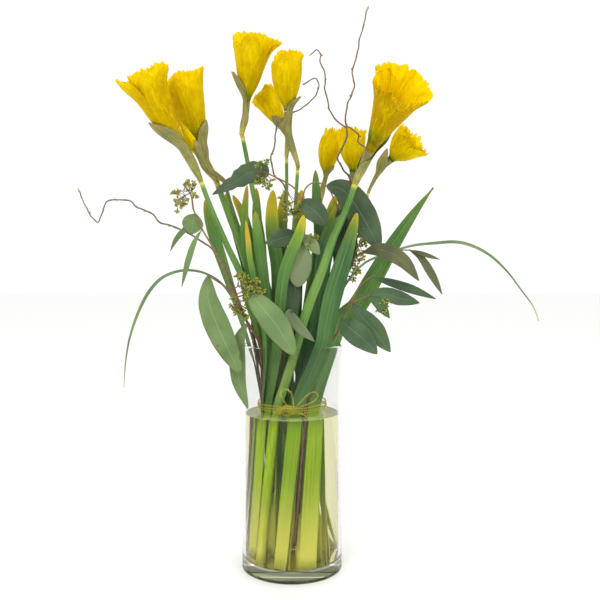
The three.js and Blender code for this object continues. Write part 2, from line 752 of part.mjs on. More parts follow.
// Curly willow: twigs that wind up out of the bundle
const willows = [
  {
    rim: [18.5, -9], foot: 30, radius: 1.2,
    upper: [
      [27, -12, 250], [41, -12, 300], [52, -12, 330], [52, -15, 344], [43, -24, 356], [40, -26, 363],
      [43, -27, 371], [47, -28, 382], [47, -28, 391], [46, -26, 401], [51, -21, 417], [55, -17, 428],
      [53, -14, 440], [57, -13, 454], [61, -12, 475], [67, -10, 497],
    ],
    twigs: [
      [
        [47, -28, 389], [41, -25, 394], [33, -20, 405], [32, -18, 414], [29, -16, 424], [29, -14, 440],
        [25, -12, 452], [26, -10, 457], [22, -10, 461], [18, -10, 458],
      ],
      [[47, -28, 390], [53, -31, 387], [58, -31, 382], [57, -29, 377], [62, -27, 373]],
    ],
  },
  {
    rim: [-8, -18], foot: 60, radius: 1.1,
    upper: [
      [-8, -17, 240], [-5, -15, 290], [-7, -13, 328], [-6, -12, 339], [-16, -13, 351], [-18, -13, 364],
      [-16, -6, 378], [-15, 2, 388], [-12, 9, 399], [-5, 12, 406], [6, 10, 411], [20, 2, 421],
      [24, -2, 431], [21, -3, 438], [12, 2, 434],
    ],
    twigs: [],
  },
  {
    rim: [-33, -22], foot: 45, radius: 1.1,
    upper: [
      [-45, -29, 237], [-56, -32, 265], [-69, -32, 284], [-82, -32, 293], [-101, -33, 303],
      [-111, -33, 306], [-122, -32, 315], [-131, -30, 319], [-142, -28, 326], [-161, -25, 324],
      [-169, -24, 307], [-180, -22, 321], [-186, -20, 334],
    ],
    twigs: [],
  },
];

willows.forEach((willow, i) => {
  const stations = stalk(willow.rim, willow.upper, 1, willow.foot);
  const taper = (share) => 1 - 0.5 * share;
  const parts = [toSolid(roundStalk(stations, willow.radius, 6, taper))];
  for (const twig of willow.twigs) {
    parts.push(toSolid(roundLine(twig, 0.62 * willow.radius, 5, 1, (share) => 1 - 0.3 * share)));
  }
  add(`curly_willow_${i + 1}`, toGeometry(fuse(parts)), 0x6b6a3a, 0.75);
});

// Seeded eucalyptus: a thin woody stem with side twigs, leathery leaves and clusters of seed cups.
// A leaf has its line from the twig to its tip, half its width, and the turn of its face.
const sprays = [
  {
    rim: [-28, -26], foot: 24, radius: 1.5, colour: 0x6f8f66,
    upper: [
      [-35, -33, 216], [-44, -38, 231], [-50, -41, 247], [-57, -43, 266], [-68, -44, 287],
      [-78, -42, 304], [-84, -40, 318],
    ],
    twigs: [
      [[-50, -41, 247], [-61, -43, 255], [-72, -44, 262]],
      [[-84, -40, 318], [-86, -40, 330], [-92, -40, 338]],
    ],
    leaves: [
      { line: [[-71, -44, 261], [-71, -49, 240], [-58, -53, 210], [-43, -54, 180]], half: 12.5, turn: 10 },
      { line: [[-38, -35, 221], [-44, -43, 209], [-45, -46, 175], [-37, -47, 149]], half: 7, turn: -10 },
      { line: [[-39, -35.5, 223], [-28, -45, 228], [-12, -52, 214], [2, -52, 196]], half: 12.5, turn: 5 },
      { line: [[-82, -40, 314], [-84, -42, 306], [-85, -43, 296]], half: 9, turn: 10 },
      { line: [[-80, -41, 308], [-90, -43, 301], [-98, -43, 292], [-103, -43, 282]], half: 2.4, turn: 0 },
      { line: [[-76, -42, 301], [-82, -46, 290], [-88, -46, 272], [-93, -45, 252]], half: 2.6, turn: 0 },
    ],
    seeds: [[-88, -40, 334], [-96, -41, 330], [-50, -42, 250], [-46, -38, 236]],
  },
  {
    rim: [0, -19.5], foot: 70, radius: 1.2, colour: 0x5b7d5c,
    upper: [[2, -23, 240], [6, -26, 275], [10, -26, 308], [9, -25, 329]],
    twigs: [
      [[9, -25, 327], [12, -26, 337], [20, -26, 342], [32, -26, 338]],
      [[9, -25, 325], [3, -24, 336], [-7, -24, 343], [-22, -24, 350]],
    ],
    leaves: [
      { line: [[30, -26, 339], [44, -28, 335], [60, -26, 314], [76, -24, 285]], half: 13, turn: 0 },
      { line: [[-21, -24, 349], [-32, -26, 352], [-50, -28, 343], [-69, -28, 331]], half: 9, turn: 0 },
      { line: [[9, -25, 322], [13, -30, 320], [21, -33, 314], [29, -34, 305]], half: 8, turn: 0 },
      { line: [[7, -26, 285], [6, -27.5, 280], [4, -28, 266], [1, -28, 251]], half: 9.5, turn: 0 },
      { line: [[7, -26, 291], [12, -27, 291], [18, -28, 285], [24, -28, 278]], half: 5, turn: 0 },
    ],
    seeds: [[-24, -24, 356], [-4, -25, 322], [16, -28, 291]],
  },
  {
    rim: [34, -16], foot: 30, radius: 1.4, colour: 0x58735a,
    upper: [[40, -22, 212], [43, -27, 223], [50, -31, 236], [61, -33, 242], [68, -33, 245]],
    twigs: [[[50, -31, 236], [58, -33, 252], [70, -34, 262]]],
    leaves: [
      { line: [[66, -33, 244], [76, -37, 246], [92, -40, 242], [108, -42, 238]], half: 6.5, turn: 0 },
      { line: [[68, -34, 260], [82, -32, 256], [104, -31, 249], [124, -31, 241]], half: 4, turn: 0 },
      { line: [[42, -26, 222], [50, -40, 216], [62, -43, 206], [72, -44, 197]], half: 8, turn: 0 },
      { line: [[52, -31, 237], [60, -36, 226], [71, -37, 212], [83, -38, 198]], half: 7, turn: 5 },
      { line: [[66, -33, 243], [73, -38, 238], [78, -39, 232], [83, -40, 225]], half: 4.5, turn: 0 },
    ],
    seeds: [[78, -36, 236]],
  },
  {
    rim: [29.5, -12.5], foot: 56, radius: 1.2, colour: 0x6a6d3e,
    upper: [[36, -16, 226], [45, -20, 258], [53, -23, 275], [64, -24, 281], [80, -28, 283], [102, -32, 283]],
    twigs: [[[47, -20, 262], [50, -22, 284], [54, -22, 296]]],
    leaves: [
      { line: [[64, -24, 281], [78, -34, 282], [95, -38, 275], [109, -39, 260]], half: 4.5, turn: 0 },
      { line: [[101, -32, 283], [110, -33, 277], [120, -33, 262], [129, -33, 245]], half: 2.8, turn: 0 },
      { line: [[101, -32, 283], [108, -34, 281], [117, -36, 278], [126, -37, 275]], half: 2, turn: 0 },
    ],
    seeds: [[54, -22, 298], [49, -22, 278], [56, -22, 286]],
  },
];

// Repeatable random numbers for the seed cups
function randomFrom(seed) {
  let state = seed;
  return () => {
    state = (state * 16807) % 2147483647;
    return state / 2147483647;
  };
}

// A cluster of long seed cups, set turn by turn along a short twig from the nearest part of the spray
function seedCluster(tip, anchor, random) {
  const cups = 4;
  const parts = [toSolid(roundLine([anchor, tip], 0.7, 4, 1))];
  const twigWay = tip.clone().sub(anchor).normalize();
  const { across, out } = sectionFrame(twigWay, facingViewer);
  for (let k = 0; k < cups; k += 1) {
    const angle = Math.PI * (0.15 + 0.9 * k + 0.2 * random());
    const way = across.clone().multiplyScalar(Math.cos(angle)).addScaledVector(out, 0.5 * Math.sin(angle));
    way.addScaledVector(twigWay, 0.5).normalize();
    const root = tip.clone().addScaledVector(twigWay, -2.6 * (cups - 1 - k));
    const cup = new THREE.OctahedronGeometry(1).scale(1.5, 1.5, 2.9);
    cup.applyQuaternion(new THREE.Quaternion().setFromUnitVectors(up, way));
    root.addScaledVector(way, 2.5);
    cup.translate(root.x, root.y, root.z);
    parts.push(toSolid(cup));
  }
  return parts;
}

function spray(plant, number) {
  const stations = stalk(plant.rim, plant.upper, 1, plant.foot);
  const woody = [...stations.slice(1).map((station) => station.at)];
  const parts = [toSolid(roundStalk(stations, plant.radius, 6, (share) => 1 - 0.4 * share))];
  for (const twig of plant.twigs) {
    parts.push(toSolid(roundLine(twig, 0.7, 5, 1)));
    woody.push(...twig.map(vec));
  }
  for (const leaf of plant.leaves) {
    const turn = THREE.MathUtils.degToRad(leaf.turn);
    parts.push(toSolid(leafBlade(leaf.line, leaf.half, turn)));
  }
  const random = randomFrom(1000 + number);
  for (const seed of plant.seeds) {
    const centre = vec(seed);
    const nearer = (best, p) => (p.distanceTo(centre) < best.distanceTo(centre) ? p : best);
    const anchor = woody.reduce(nearer);
    parts.push(...seedCluster(centre, anchor, random));
  }
  return toGeometry(fuse(parts));
}

sprays.forEach((plant, i) => {
  add(`eucalyptus_${i + 1}`, spray(plant, i), plant.colour, 0.55);
});

add('cord', tie(), 0xa8c03a, 0.5);
add('vase', vase(), 0xdfe8ea, 0.05);
add('water', water(), 0xd6e0cf, 0.05);

export default group;
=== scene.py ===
import math
import random

import bpy
from mathutils import Matrix, Vector, noise


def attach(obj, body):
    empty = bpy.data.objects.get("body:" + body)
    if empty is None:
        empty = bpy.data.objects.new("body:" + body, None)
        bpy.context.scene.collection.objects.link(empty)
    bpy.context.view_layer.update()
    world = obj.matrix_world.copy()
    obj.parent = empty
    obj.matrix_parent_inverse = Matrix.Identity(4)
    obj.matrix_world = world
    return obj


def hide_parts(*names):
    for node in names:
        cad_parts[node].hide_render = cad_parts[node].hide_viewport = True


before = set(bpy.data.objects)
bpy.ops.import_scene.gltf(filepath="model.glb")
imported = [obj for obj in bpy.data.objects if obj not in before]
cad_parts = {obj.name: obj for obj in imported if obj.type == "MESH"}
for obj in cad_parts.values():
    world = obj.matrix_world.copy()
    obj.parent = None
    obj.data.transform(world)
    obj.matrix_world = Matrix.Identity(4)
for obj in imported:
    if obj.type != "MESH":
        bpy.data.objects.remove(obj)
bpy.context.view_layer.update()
mm = 0.001
up = Vector((0, 0, 1))
toViewer = Vector((0, -1, 0))

# The camera looks level at the vase. One of the picture's 600 pixels is 0.9 mm at the vase's axis.
picture = {"pixels": 600, "mmPerPixel": 0.9, "distance": 720, "height": 274.5, "axis": 292, "horizon": 260}


def makeCamera():
    camera = bpy.data.cameras.new("camera")
    wide = picture["pixels"] * picture["mmPerPixel"]
    camera.sensor_width = 36
    camera.lens = camera.sensor_width * picture["distance"] / wide
    camera.shift_x = (picture["pixels"] / 2 - picture["axis"]) / picture["pixels"]
    camera.shift_y = (picture["horizon"] - picture["pixels"] / 2) / picture["pixels"]
    holder = bpy.data.objects.new("camera", camera)
    holder.location = (0, -picture["distance"] * mm, picture["height"] * mm)
    holder.rotation_euler = (math.radians(90), 0, 0)
    bpy.context.scene.collection.objects.link(holder)
    bpy.context.scene.camera = holder


makeCamera()
print("camera is set")


# Shader maths: a Value wraps a socket, and sums written with it add their Math nodes
class Value:
    def __init__(self, paint, socket):
        self.paint = paint
        self.socket = socket

    def maths(self, operation, *values):
        sockets = {place: value for place, value in enumerate(values)}
        return self.paint.node("ShaderNodeMath", {"operation": operation}, sockets)

    def __add__(self, other):
        return self.maths("ADD", self, other)

    def __radd__(self, other):
        return self.maths("ADD", other, self)

    def __sub__(self, other):
        return self.maths("SUBTRACT", self, other)

    def __rsub__(self, other):
        return self.maths("SUBTRACT", other, self)

    def __mul__(self, other):
        return self.maths("MULTIPLY", self, other)

    def __rmul__(self, other):
        return self.maths("MULTIPLY", other, self)

    def __abs__(self):
        return self.maths("ABSOLUTE", self)

    def pingPong(self, scale):  # up to scale and down to 0 again and again
        return self.maths("PINGPONG", self, scale)

    def fade(self, low, high):  # 0 below low, 1 above high, smooth between
        settings = {"interpolation_type": "SMOOTHSTEP"}
        return self.paint.node("ShaderNodeMapRange", settings, {0: self, 1: low, 2: high, 3: 0, 4: 1})


# One material being made; node() adds any node from its type, settings and socket values or links
class Paint:
    def __init__(self, name):
        self.material = bpy.data.materials.new(name)
        self.material.use_nodes = True
        self.tree = self.material.node_tree
        self.tree.nodes.clear()
        self.end = self.tree.nodes.new("ShaderNodeOutputMaterial")

    def node(self, kind, settings=None, sockets=None, result=0):
        made = self.tree.nodes.new(kind)
        for name, value in (settings or {}).items():
            if name == "stops":
                self.setStops(made.color_ramp, value)
            else:
                setattr(made, name, value)
        for place, value in (sockets or {}).items():
            if isinstance(value, Value):
                self.tree.links.new(value.socket, made.inputs[place])
            elif isinstance(value, tuple) and made.inputs[place].type == "RGBA":
                made.inputs[place].default_value = (*value, 1)
            else:
                made.inputs[place].default_value = value
        return Value(self, made.outputs[result])

    def setStops(self, ramp, stops):
        while len(ramp.elements) < len(stops):
            ramp.elements.new(0.5)
        for element, (place, colour) in zip(ramp.elements, stops):
            element.position = place
            element.color = (*colour, 1)

    def mark(self, name):  # a number kept with the mesh's points
        return self.node("ShaderNodeAttribute", {"attribute_name": name}, result=2)

    def marks(self, *names):
        return [self.mark(name) for name in names]

    def place(self):
        return self.node("ShaderNodeTexCoord", result=3)

    def height(self):
        return self.node("ShaderNodeSeparateXYZ", {}, {0: self.place()}, result=2)

    def grain(self, scale, detail=3, stretch=(1, 1, 1)):
        spread = self.node("ShaderNodeMapping", {}, {0: self.place(), 3: stretch})
        return self.node("ShaderNodeTexNoise", {}, {"Vector": spread, "Scale": scale, "Detail": detail})

    def streaks(self, across, along, shift=0):  # fine lines that run along a petal, leaf or stem
        place = self.node("ShaderNodeCombineXYZ", {}, {0: across, 1: along, 2: shift})
        return self.node("ShaderNodeTexNoise", {}, {"Vector": place, "Scale": 1, "Detail": 2})

    def ramp(self, value, *stops):  # colours picked on screen, each at its place from 0 to 1
        linear = [(place, tint(*picked)) for place, picked in stops]
        return self.node("ShaderNodeValToRGB", {"stops": linear}, {0: value})

    def mix(self, share, first, second):
        sockets = {0: share, 6: first, 7: second}
        return self.node("ShaderNodeMix", {"data_type": "RGBA"}, sockets, result=2)

    def coats(self, colour, *layers):  # lays colours picked on screen over another, by their shares
        for share, picked in layers:
            colour = self.mix(share, colour, tint(*picked))
        return colour

    def bump(self, relief, strength=0.5, depth=0.0003):
        return self.node("ShaderNodeBump", {}, {"Strength": strength, "Distance": depth, "Height": relief})

    def shader(self, colour, roughness, others):  # others are more sockets, by their names
        sockets = {"Base Color": colour, "Roughness": roughness, **others}
        return self.node("ShaderNodeBsdfPrincipled", {}, sockets)

    def show(self, shader):
        self.tree.links.new(shader.socket, self.end.inputs["Surface"])
        return self.material

    def finish(self, colour, roughness, normal, shine=0.5, others=None):
        sockets = {"Normal": normal, "Specular IOR Level": shine, **(others or {})}
        return self.show(self.shader(colour, roughness, sockets))


def tint(red, green, blue):  # a colour as picked on screen, 0 to 255, made linear for the shader
    def linear(part):
        part = part / 255
        return part / 12.92 if part <= 0.04045 else ((part + 0.055) / 1.055) ** 2.4
    return (linear(red), linear(green), linear(blue))


def fade(value, low, high):
    share = max(0.0, min(1.0, (value - low) / (high - low)))
    return share * share * (3 - 2 * share)


def blendNumber(first, second, share):
    return first + (second - first) * share


def softened(weight, *radius):  # the sockets for light that soaks into a petal or leaf, in metres
    return {"Subsurface Weight": weight, "Subsurface Radius": radius, "Subsurface Scale": 1.0}


# A mesh in the making, in millimetres: skins over rows of points, with numbers kept for the shaders
class Shape:
    def __init__(self):
        self.points = []
        self.faces = []
        self.kinds = []
        self.marks = {}

    def skin(self, rows, kind=0, **marks):
        first = len(self.points)
        count = len(rows[0])
        total = count * len(rows)
        for row in rows:
            self.points.extend(row)
        for name in {**self.marks, **marks}:
            kept = self.marks.setdefault(name, [])
            kept.extend([0.0] * (first - len(kept)))
            given = marks.get(name, 0.0)
            kept.extend(given if isinstance(given, list) else [float(given)] * total)
        for r in range(len(rows) - 1):
            for k in range(count):
                a = first + r * count + k
                b = first + r * count + (k + 1) % count
                self.addFace((a, b, b + count, a + count), kind)
        self.addFace(tuple(range(first + count - 1, first - 1, -1)), kind)
        self.addFace(tuple(range(first + total - count, first + total)), kind)

    def addFace(self, face, kind):
        self.faces.append(face)
        self.kinds.append(kind)


def makePiece(name, shape, paints, node):
    mesh = bpy.data.meshes.new(name)
    mesh.from_pydata([tuple(point * mm) for point in shape.points], [], shape.faces)
    for paint in paints:
        mesh.materials.append(paint)
    mesh.polygons.foreach_set("material_index", shape.kinds)
    mesh.polygons.foreach_set("use_smooth", [True] * len(shape.faces))
    for mark, values in shape.marks.items():
        kept = mesh.attributes.new(mark, "FLOAT", "POINT")
        kept.data.foreach_set("value", values)
    mesh.update()
    made = bpy.data.objects.new(name, mesh)
    bpy.context.scene.collection.objects.link(made)
    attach(made, "root")
    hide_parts(node)


# How every stalk runs: through the rim, drawn in and turned at the cord, and out again to its foot
bundle = {
    "rimHeight": 200, "tieHeight": 146, "footHeight": 9.8,
    "tieTurn": -40, "footTurn": -72, "footSpread": 1.34, "footShift": 5, "drawIn": 0.0078,
    "legSteps": 12,
}


class Station:
    def __init__(self, at, way, share):
        self.at = at
        self.way = way
        self.share = share


def turned(point, degrees):
    return Matrix.Rotation(math.radians(degrees), 3, "Z") @ point


def runLengths(stations):  # how far along its line each station is
    runs = [0.0]
    for first, second in zip(stations, stations[1:]):
        runs.append(runs[-1] + (second.at - first.at).length)
    return runs


def smoothLine(points, perSpan):  # stations on a smooth curve through points
    line = [Vector(point) for point in points]
    ends = [2 * line[0] - line[1]] + line + [2 * line[-1] - line[-2]]
    spans = len(line) - 1
    found = []
    for span in range(spans):
        a, b, c, d = ends[span:span + 4]
        before, here, after = [max((q - p).length, 0.01) ** 0.5 for p, q in ((a, b), (b, c), (c, d))]
        leave = ((b - a) / before - (c - a) / (before + here) + (c - b) / here) * here
        arrive = ((c - b) / here - (d - b) / (here + after) + (d - c) / after) * here
        second = 3 * (c - b) - 2 * leave - arrive
        third = 2 * (b - c) + leave + arrive
        for step in range(perSpan + (1 if span == spans - 1 else 0)):
            t = step / perSpan
            at = b + leave * t + second * t * t + third * t ** 3
            way = leave + 2 * second * t + 3 * third * t * t
            found.append(Station(at, way.normalized(), 0.0))
    runs = runLengths(found)
    for station, run in zip(found, runs):
        station.share = run / runs[-1]
    return found


def atTie(rim):
    shrink = 1 - bundle["drawIn"] * math.hypot(*rim)
    return turned(Vector((rim[0] * shrink, rim[1] * shrink, bundle["tieHeight"])), bundle["tieTurn"])


# Stations of a stalk. Their share of its length is -1 at the foot, 0 at the cord and 1 at the top.
def stalk(rim, upper, perSpan, foot=bundle["footHeight"]):
    tie = atTie(rim)
    low = turned(tie * bundle["footSpread"], bundle["footTurn"] - bundle["tieTurn"])
    low.x += bundle["footShift"]
    stations = smoothLine([tie, (rim[0], rim[1], bundle["rimHeight"]), *upper], perSpan)
    reach = bundle["tieHeight"] - bundle["footHeight"]
    legs = []
    for step in range(bundle["legSteps"]):
        share = step / bundle["legSteps"]
        height = blendNumber(foot, bundle["tieHeight"], share)
        at = tie.lerp(low, (bundle["tieHeight"] - height) / reach)
        at.z = height
        legs.append(Station(at, up.lerp(stations[0].way, share).normalized(), share - 1))
    return legs + stations


def turnAt(height):  # how far the bundle is turned at a height, in degrees
    if height >= bundle["rimHeight"]:
        return 0
    if height >= bundle["tieHeight"]:
        share = (bundle["rimHeight"] - height) / (bundle["rimHeight"] - bundle["tieHeight"])
        return bundle["tieTurn"] * share
    share = (bundle["tieHeight"] - height) / (bundle["tieHeight"] - bundle["footHeight"])
    return blendNumber(bundle["tieTurn"], bundle["footTurn"], share)


def sideAndOut(way, face):
    side = face.cross(way).normalized()
    return side, way.cross(side).normalized()


def anySideAndOut(way):  # for a round piece that may run any way
    return sideAndOut(way, toViewer if abs(way.y) < 0.9 else up)


def ringWays(side, out, sides):  # even ways round a circle
    turns = [2 * math.pi * k / sides for k in range(sides)]
    return [side * math.cos(turn) + out * math.sin(turn) for turn in turns]


def roundRow(station, radius, sides, face=toViewer):
    ways = ringWays(*sideAndOut(station.way, face), sides)
    return [station.at + way * radius for way in ways]


def roundMarks(stations, sides):
    return {
        "along": [station.share for station in stations for _ in range(sides)],
        "round": [k / sides for _ in stations for k in range(sides)],
    }


def tube(shape, stations, radiusAt, sides, **marks):
    rows = [roundRow(station, radiusAt(station), sides) for station in stations]
    shape.skin(rows, **roundMarks(stations, sides), **marks)


def acrossAt(k, columns):  # from 1 at one edge of a blade to -1 at the other
    return 1 - 2 * k / (columns - 1)


# A blade's row of points: across its front, and back again across its back
def foldedRow(pairAt, columns):
    pairs = [pairAt(acrossAt(k, columns)) for k in range(columns)]
    return [front for front, back in pairs] + [back for front, back in pairs[::-1]]


def bladeRow(station, face, half, thick, fold, columns):
    side, out = sideAndOut(station.way, face)

    def pairAt(x):
        middle = station.at + side * half * x + out * fold * abs(x) ** 1.5
        depth = thick * (0.3 + 0.7 * (1 - x * x)) / 2
        return middle + out * depth, middle - out * depth

    return foldedRow(pairAt, columns)


def bladeMarks(shares, columns):
    across = [acrossAt(k, columns) for k in range(columns)]
    across = across + across[::-1]
    return {
        "along": [share for share in shares for _ in across],
        "across": [x for _ in shares for x in across],
    }


def skinBlade(shape, stations, rows, columns, kind=0, **marks):
    shape.skin(rows, kind, **bladeMarks([station.share for station in stations], columns), **marks)


# Daffodils, in millimetres: where the stem crosses the rim and runs above it, the bloom's base and the
# middle of its mouth, the tip of the papery sheath and half the angle it wraps, and the sizes. A
# bloom's belly is its share of the full outline against the slim one, its foot the share of its radius
# at the base, and its bend how far its middle bows aside. A loose tepal is given by its number,
# counted round the bloom, and how far its tip stands off. Notches of a rim are degrees round it, width
# in degrees, rise and spread. One sheath stands free: its own line and half its width are given.
# Shade depth is how much painted shade darkens a bloom below its rim, green how far its foot's green
# reaches up it, and curl how much its rim waves. What a flower doesn't give is taken from flowerDefaults.
daffodils = [
    {
        "rim": [-27, -13],
        "stem": [
            [-31, -14, 215], [-39, -17, 239], [-44, -20, 260], [-56, -24, 286], [-69, -28, 317],
            [-78, -31, 341],
        ],
        "base": [-92, -34, 371], "mouth": [-123, -40, 435], "spathe": [-120, -42, 389], "wrap": 120,
        "stemRadius": 3.1, "radius": 18, "roll": 28, "belly": 0.6, "foot": 0.22, "bend": [-6, 0, 0],
        "loose": {2: 0.3, 3: 0.55}, "notches": [(0, 30, -4, 0)], "deep": 0.6,
    },
    {
        "rim": [-23, -1],
        "stem": [[-27, -1, 225], [-34, -2, 250], [-47, -3, 290], [-56, -4, 313], [-67, -4, 343]],
        "base": [-81, -4, 373], "mouth": [-98, 0, 440], "spathe": [-76, -7, 399], "stemRadius": 3.8,
        "radius": 17, "belly": 1.1, "foot": 0.3, "bend": [-2, 0, 0], "deep": 0.15, "green": 0.16,
        "notches": [(0, 32, 4, 2), (180, 60, -4, -0.5)],
    },
    {
        "rim": [-19, 15],
        "stem": [
            [-22, 13, 238], [-25, 12, 265], [-27, 11, 293], [-31, 10, 316], [-36, 9, 339], [-41, 10, 366],
            [-45, 11, 386],
        ],
        "base": [-41, 12, 420], "mouth": [-36, 10, 478], "spathe": [-55, 8, 446], "stemRadius": 2.9,
        "radius": 18.5, "roll": 25, "belly": 0.5, "foot": 0.14, "loose": {0: 0.3},
        "notches": [(340, 25, -1, 4), (30, 14, -3, 0)], "deep": 0.25,
    },
    {
        "rim": [-1, 1], "stem": [[0, 1, 256], [1, 1, 293], [3, 1, 320], [5, 0, 355]], "base": [-4, -3, 408],
        "mouth": [-5, -12, 458], "spathe": [8, -9, 420], "wrap": 85, "stemRadius": 2.3, "radius": 14,
        "roll": 5, "belly": 1.25, "foot": 0.24, "deep": 0.2,
        "notches": [(180, 38, -6, -2.5), (300, 30, 2, -1), (10, 22, -2, 1.5), (240, 25, 2, -1)],
    },
    {
        "rim": [-6, 11],
        "stem": [[-7, 13, 238], [-7, 15, 274], [-6, 17, 311], [-5, 18, 337], [-5, 18, 367]],
        "base": [-8, 20, 397], "mouth": [-26, 36, 430], "spathe": [-19, 14, 407], "stemRadius": 2.3,
        "radius": 12.5, "roll": 40, "belly": 0.6, "deep": 0,
    },
    {
        "rim": [8, 10], "stem": [[13, 14, 238], [17, 18, 265], [22, 22, 293], [27, 26, 328]],
        "base": [31, 30, 353], "mouth": [40, 26, 396], "spathe": [39, 26, 363], "stemRadius": 2,
        "radius": 10.5, "roll": 15, "belly": 1.5, "foot": 0.14, "bend": [-1, 0, 0], "deep": 0, "curl": 1.9,
        "notches": [(180, 45, -4, -1), (0, 40, 1, 1)],
    },
    {
        "rim": [15, 2], "stem": [[24, 4, 243], [32, 5, 273], [40, 6, 302], [47, 7, 322], [51, 8, 334]],
        "base": [55, 7, 355], "mouth": [53, -6, 392], "spathe": [62, 13, 366], "stemRadius": 2,
        "radius": 12.8, "roll": 30, "belly": 1.2, "deep": 0, "curl": 1.9,
        "notches": [(0, 35, -4, 1), (290, 40, 2, -1)],
    },
    {
        "rim": [4, -31],
        "stem": [
            [9, -32, 219], [16, -33, 240], [26, -34, 266], [35, -34, 292], [46, -34, 317], [54, -34, 339],
        ],
        "base": [67, -38, 369], "mouth": [88, -87, 415], "spathe": [86, -40, 384], "wrap": 75,
        "stemRadius": 4, "radius": 24, "belly": 0, "deep": 0.75, "green": 0.22,
        "notches": [(48, 9, -3, 0), (10, 10, -2, 0), (150, 40, -3, -1), (70, 30, 2, 0)],
    },
    {
        "rim": [25, -8],
        "stem": [[33, -7, 239], [43, -6, 270], [54, -5, 297], [63, -5, 321], [68, -5, 334]],
        "base": [88, -8, 364], "mouth": [107, -18, 382], "sheathHalf": 5.5,
        "sheath": [[75, -6, 348], [79, -12, 361], [84, -15, 373]], "stemRadius": 2.1, "radius": 16,
        "roll": 12, "belly": 0.95, "deep": 0, "curl": 1.7, "loose": {5: 0.3},
    },
    {
        "rim": [-24, 8],
        "stem": [
            [-27, 11, 229], [-33, 12, 256], [-43, 10, 290], [-50, 8, 308], [-55, 5, 324], [-59.5, -3, 341],
        ],
        "base": [-82, -20, 367], "mouth": [-98, -21, 395], "spathe": [-84.5, -24, 379], "wrap": 78,
        "stemRadius": 2.4, "radius": 4.4, "roll": 35, "belly": 1, "foot": 0.6, "closed": True,
    },
]

flowerDefaults = {
    "wrap": 80, "roll": 0, "foot": 0.2, "bend": [0, 0, 0], "loose": {}, "notches": [],
    "deep": 0.1, "green": 0.0, "curl": 1.0, "closed": False,
}
flowerLooks = {
    "roundSteps": 216,       # points round a trumpet
    "waves": 5,              # large waves of the rim
    "pleatDepth": 0.075,     # this and the next two are shares of the mouth's radius
    "waveDepth": 0.045,
    "frillHeight": 0.19,
    "tepalSpread": 45,       # half the angle a tepal covers, in degrees
    "petalThickness": 0.45,
    "tepalThickness": 0.22,
    "stemTaper": 0.66,       # a stem's radius at its top, as a share
    "stemSides": 20,
    "tepalColumns": 17,
    "budStart": 0.7,         # a bud shows only the bright upper part of a petal's colours
}
# The trumpet's radius up its length, as shares of the mouth's radius and of the bloom's length: a
# slim funnel, a full one and a closed bud
slimOutline = [(0, 0.2), (0.2, 0.31), (0.4, 0.44), (0.6, 0.6), (0.8, 0.8), (1, 1.1)]
fullOutline = [(0, 0.2), (0.12, 0.34), (0.3, 0.6), (0.5, 0.8), (0.7, 0.9), (0.88, 0.93), (1, 1.0)]
budOutline = [(0, 0.6), (0.18, 1), (0.45, 0.95), (0.75, 0.6), (0.95, 0.2), (1, 0.05)]
# Where the rows of points are: up the trumpet's outside, down its inside, and up a tepal
outsideShares = [
    0, 0.02, 0.05, 0.09, 0.14, 0.2, 0.27, 0.34, 0.41, 0.48, 0.55, 0.62, 0.68, 0.73, 0.77, 0.81, 0.84,
    0.87, 0.895, 0.92, 0.94, 0.96, 0.975, 0.99, 1,
]
insideShares = [0.995, 0.98, 0.96, 0.94, 0.91, 0.88, 0.84, 0.8, 0.75, 0.68, 0.6, 0.5, 0.4, 0.3, 0.2]
tepalShares = [
    0, 0.05, 0.12, 0.2, 0.29, 0.38, 0.47, 0.56, 0.64, 0.71, 0.77, 0.83, 0.88, 0.92, 0.955, 0.98, 1,
]


def onOutline(outline, share):
    for (low, first), (high, second) in zip(outline, outline[1:]):
        if share <= high:
            return blendNumber(first, second, max(0.0, (share - low) / (high - low)))
    return outline[-1][1]


def trumpetRadius(share, flower):  # the outline, rounded off, in millimetres
    steps = (-0.06, -0.03, 0, 0.03, 0.06)
    total = 0
    for step in steps:
        place = min(1.0, max(0.0, share + step))
        if flower["closed"]:
            total += onOutline(budOutline, place)
        else:
            slim = onOutline(slimOutline, place)
            total += blendNumber(slim, onOutline(fullOutline, place), flower["belly"])
    wide = total / len(steps)
    return flower["radius"] * blendNumber(flower["foot"], wide, fade(share, -0.06, 0.22))


def bowed(flower, share):
    return Vector(flower["bend"]) * 4 * max(0.0, share * (1 - share))


def ripple(angle, size, shift):  # an uneven wave round a circle, about size times six crests
    return 1.6 * noise.noise(Vector((size * math.cos(angle), size * math.sin(angle), shift)))


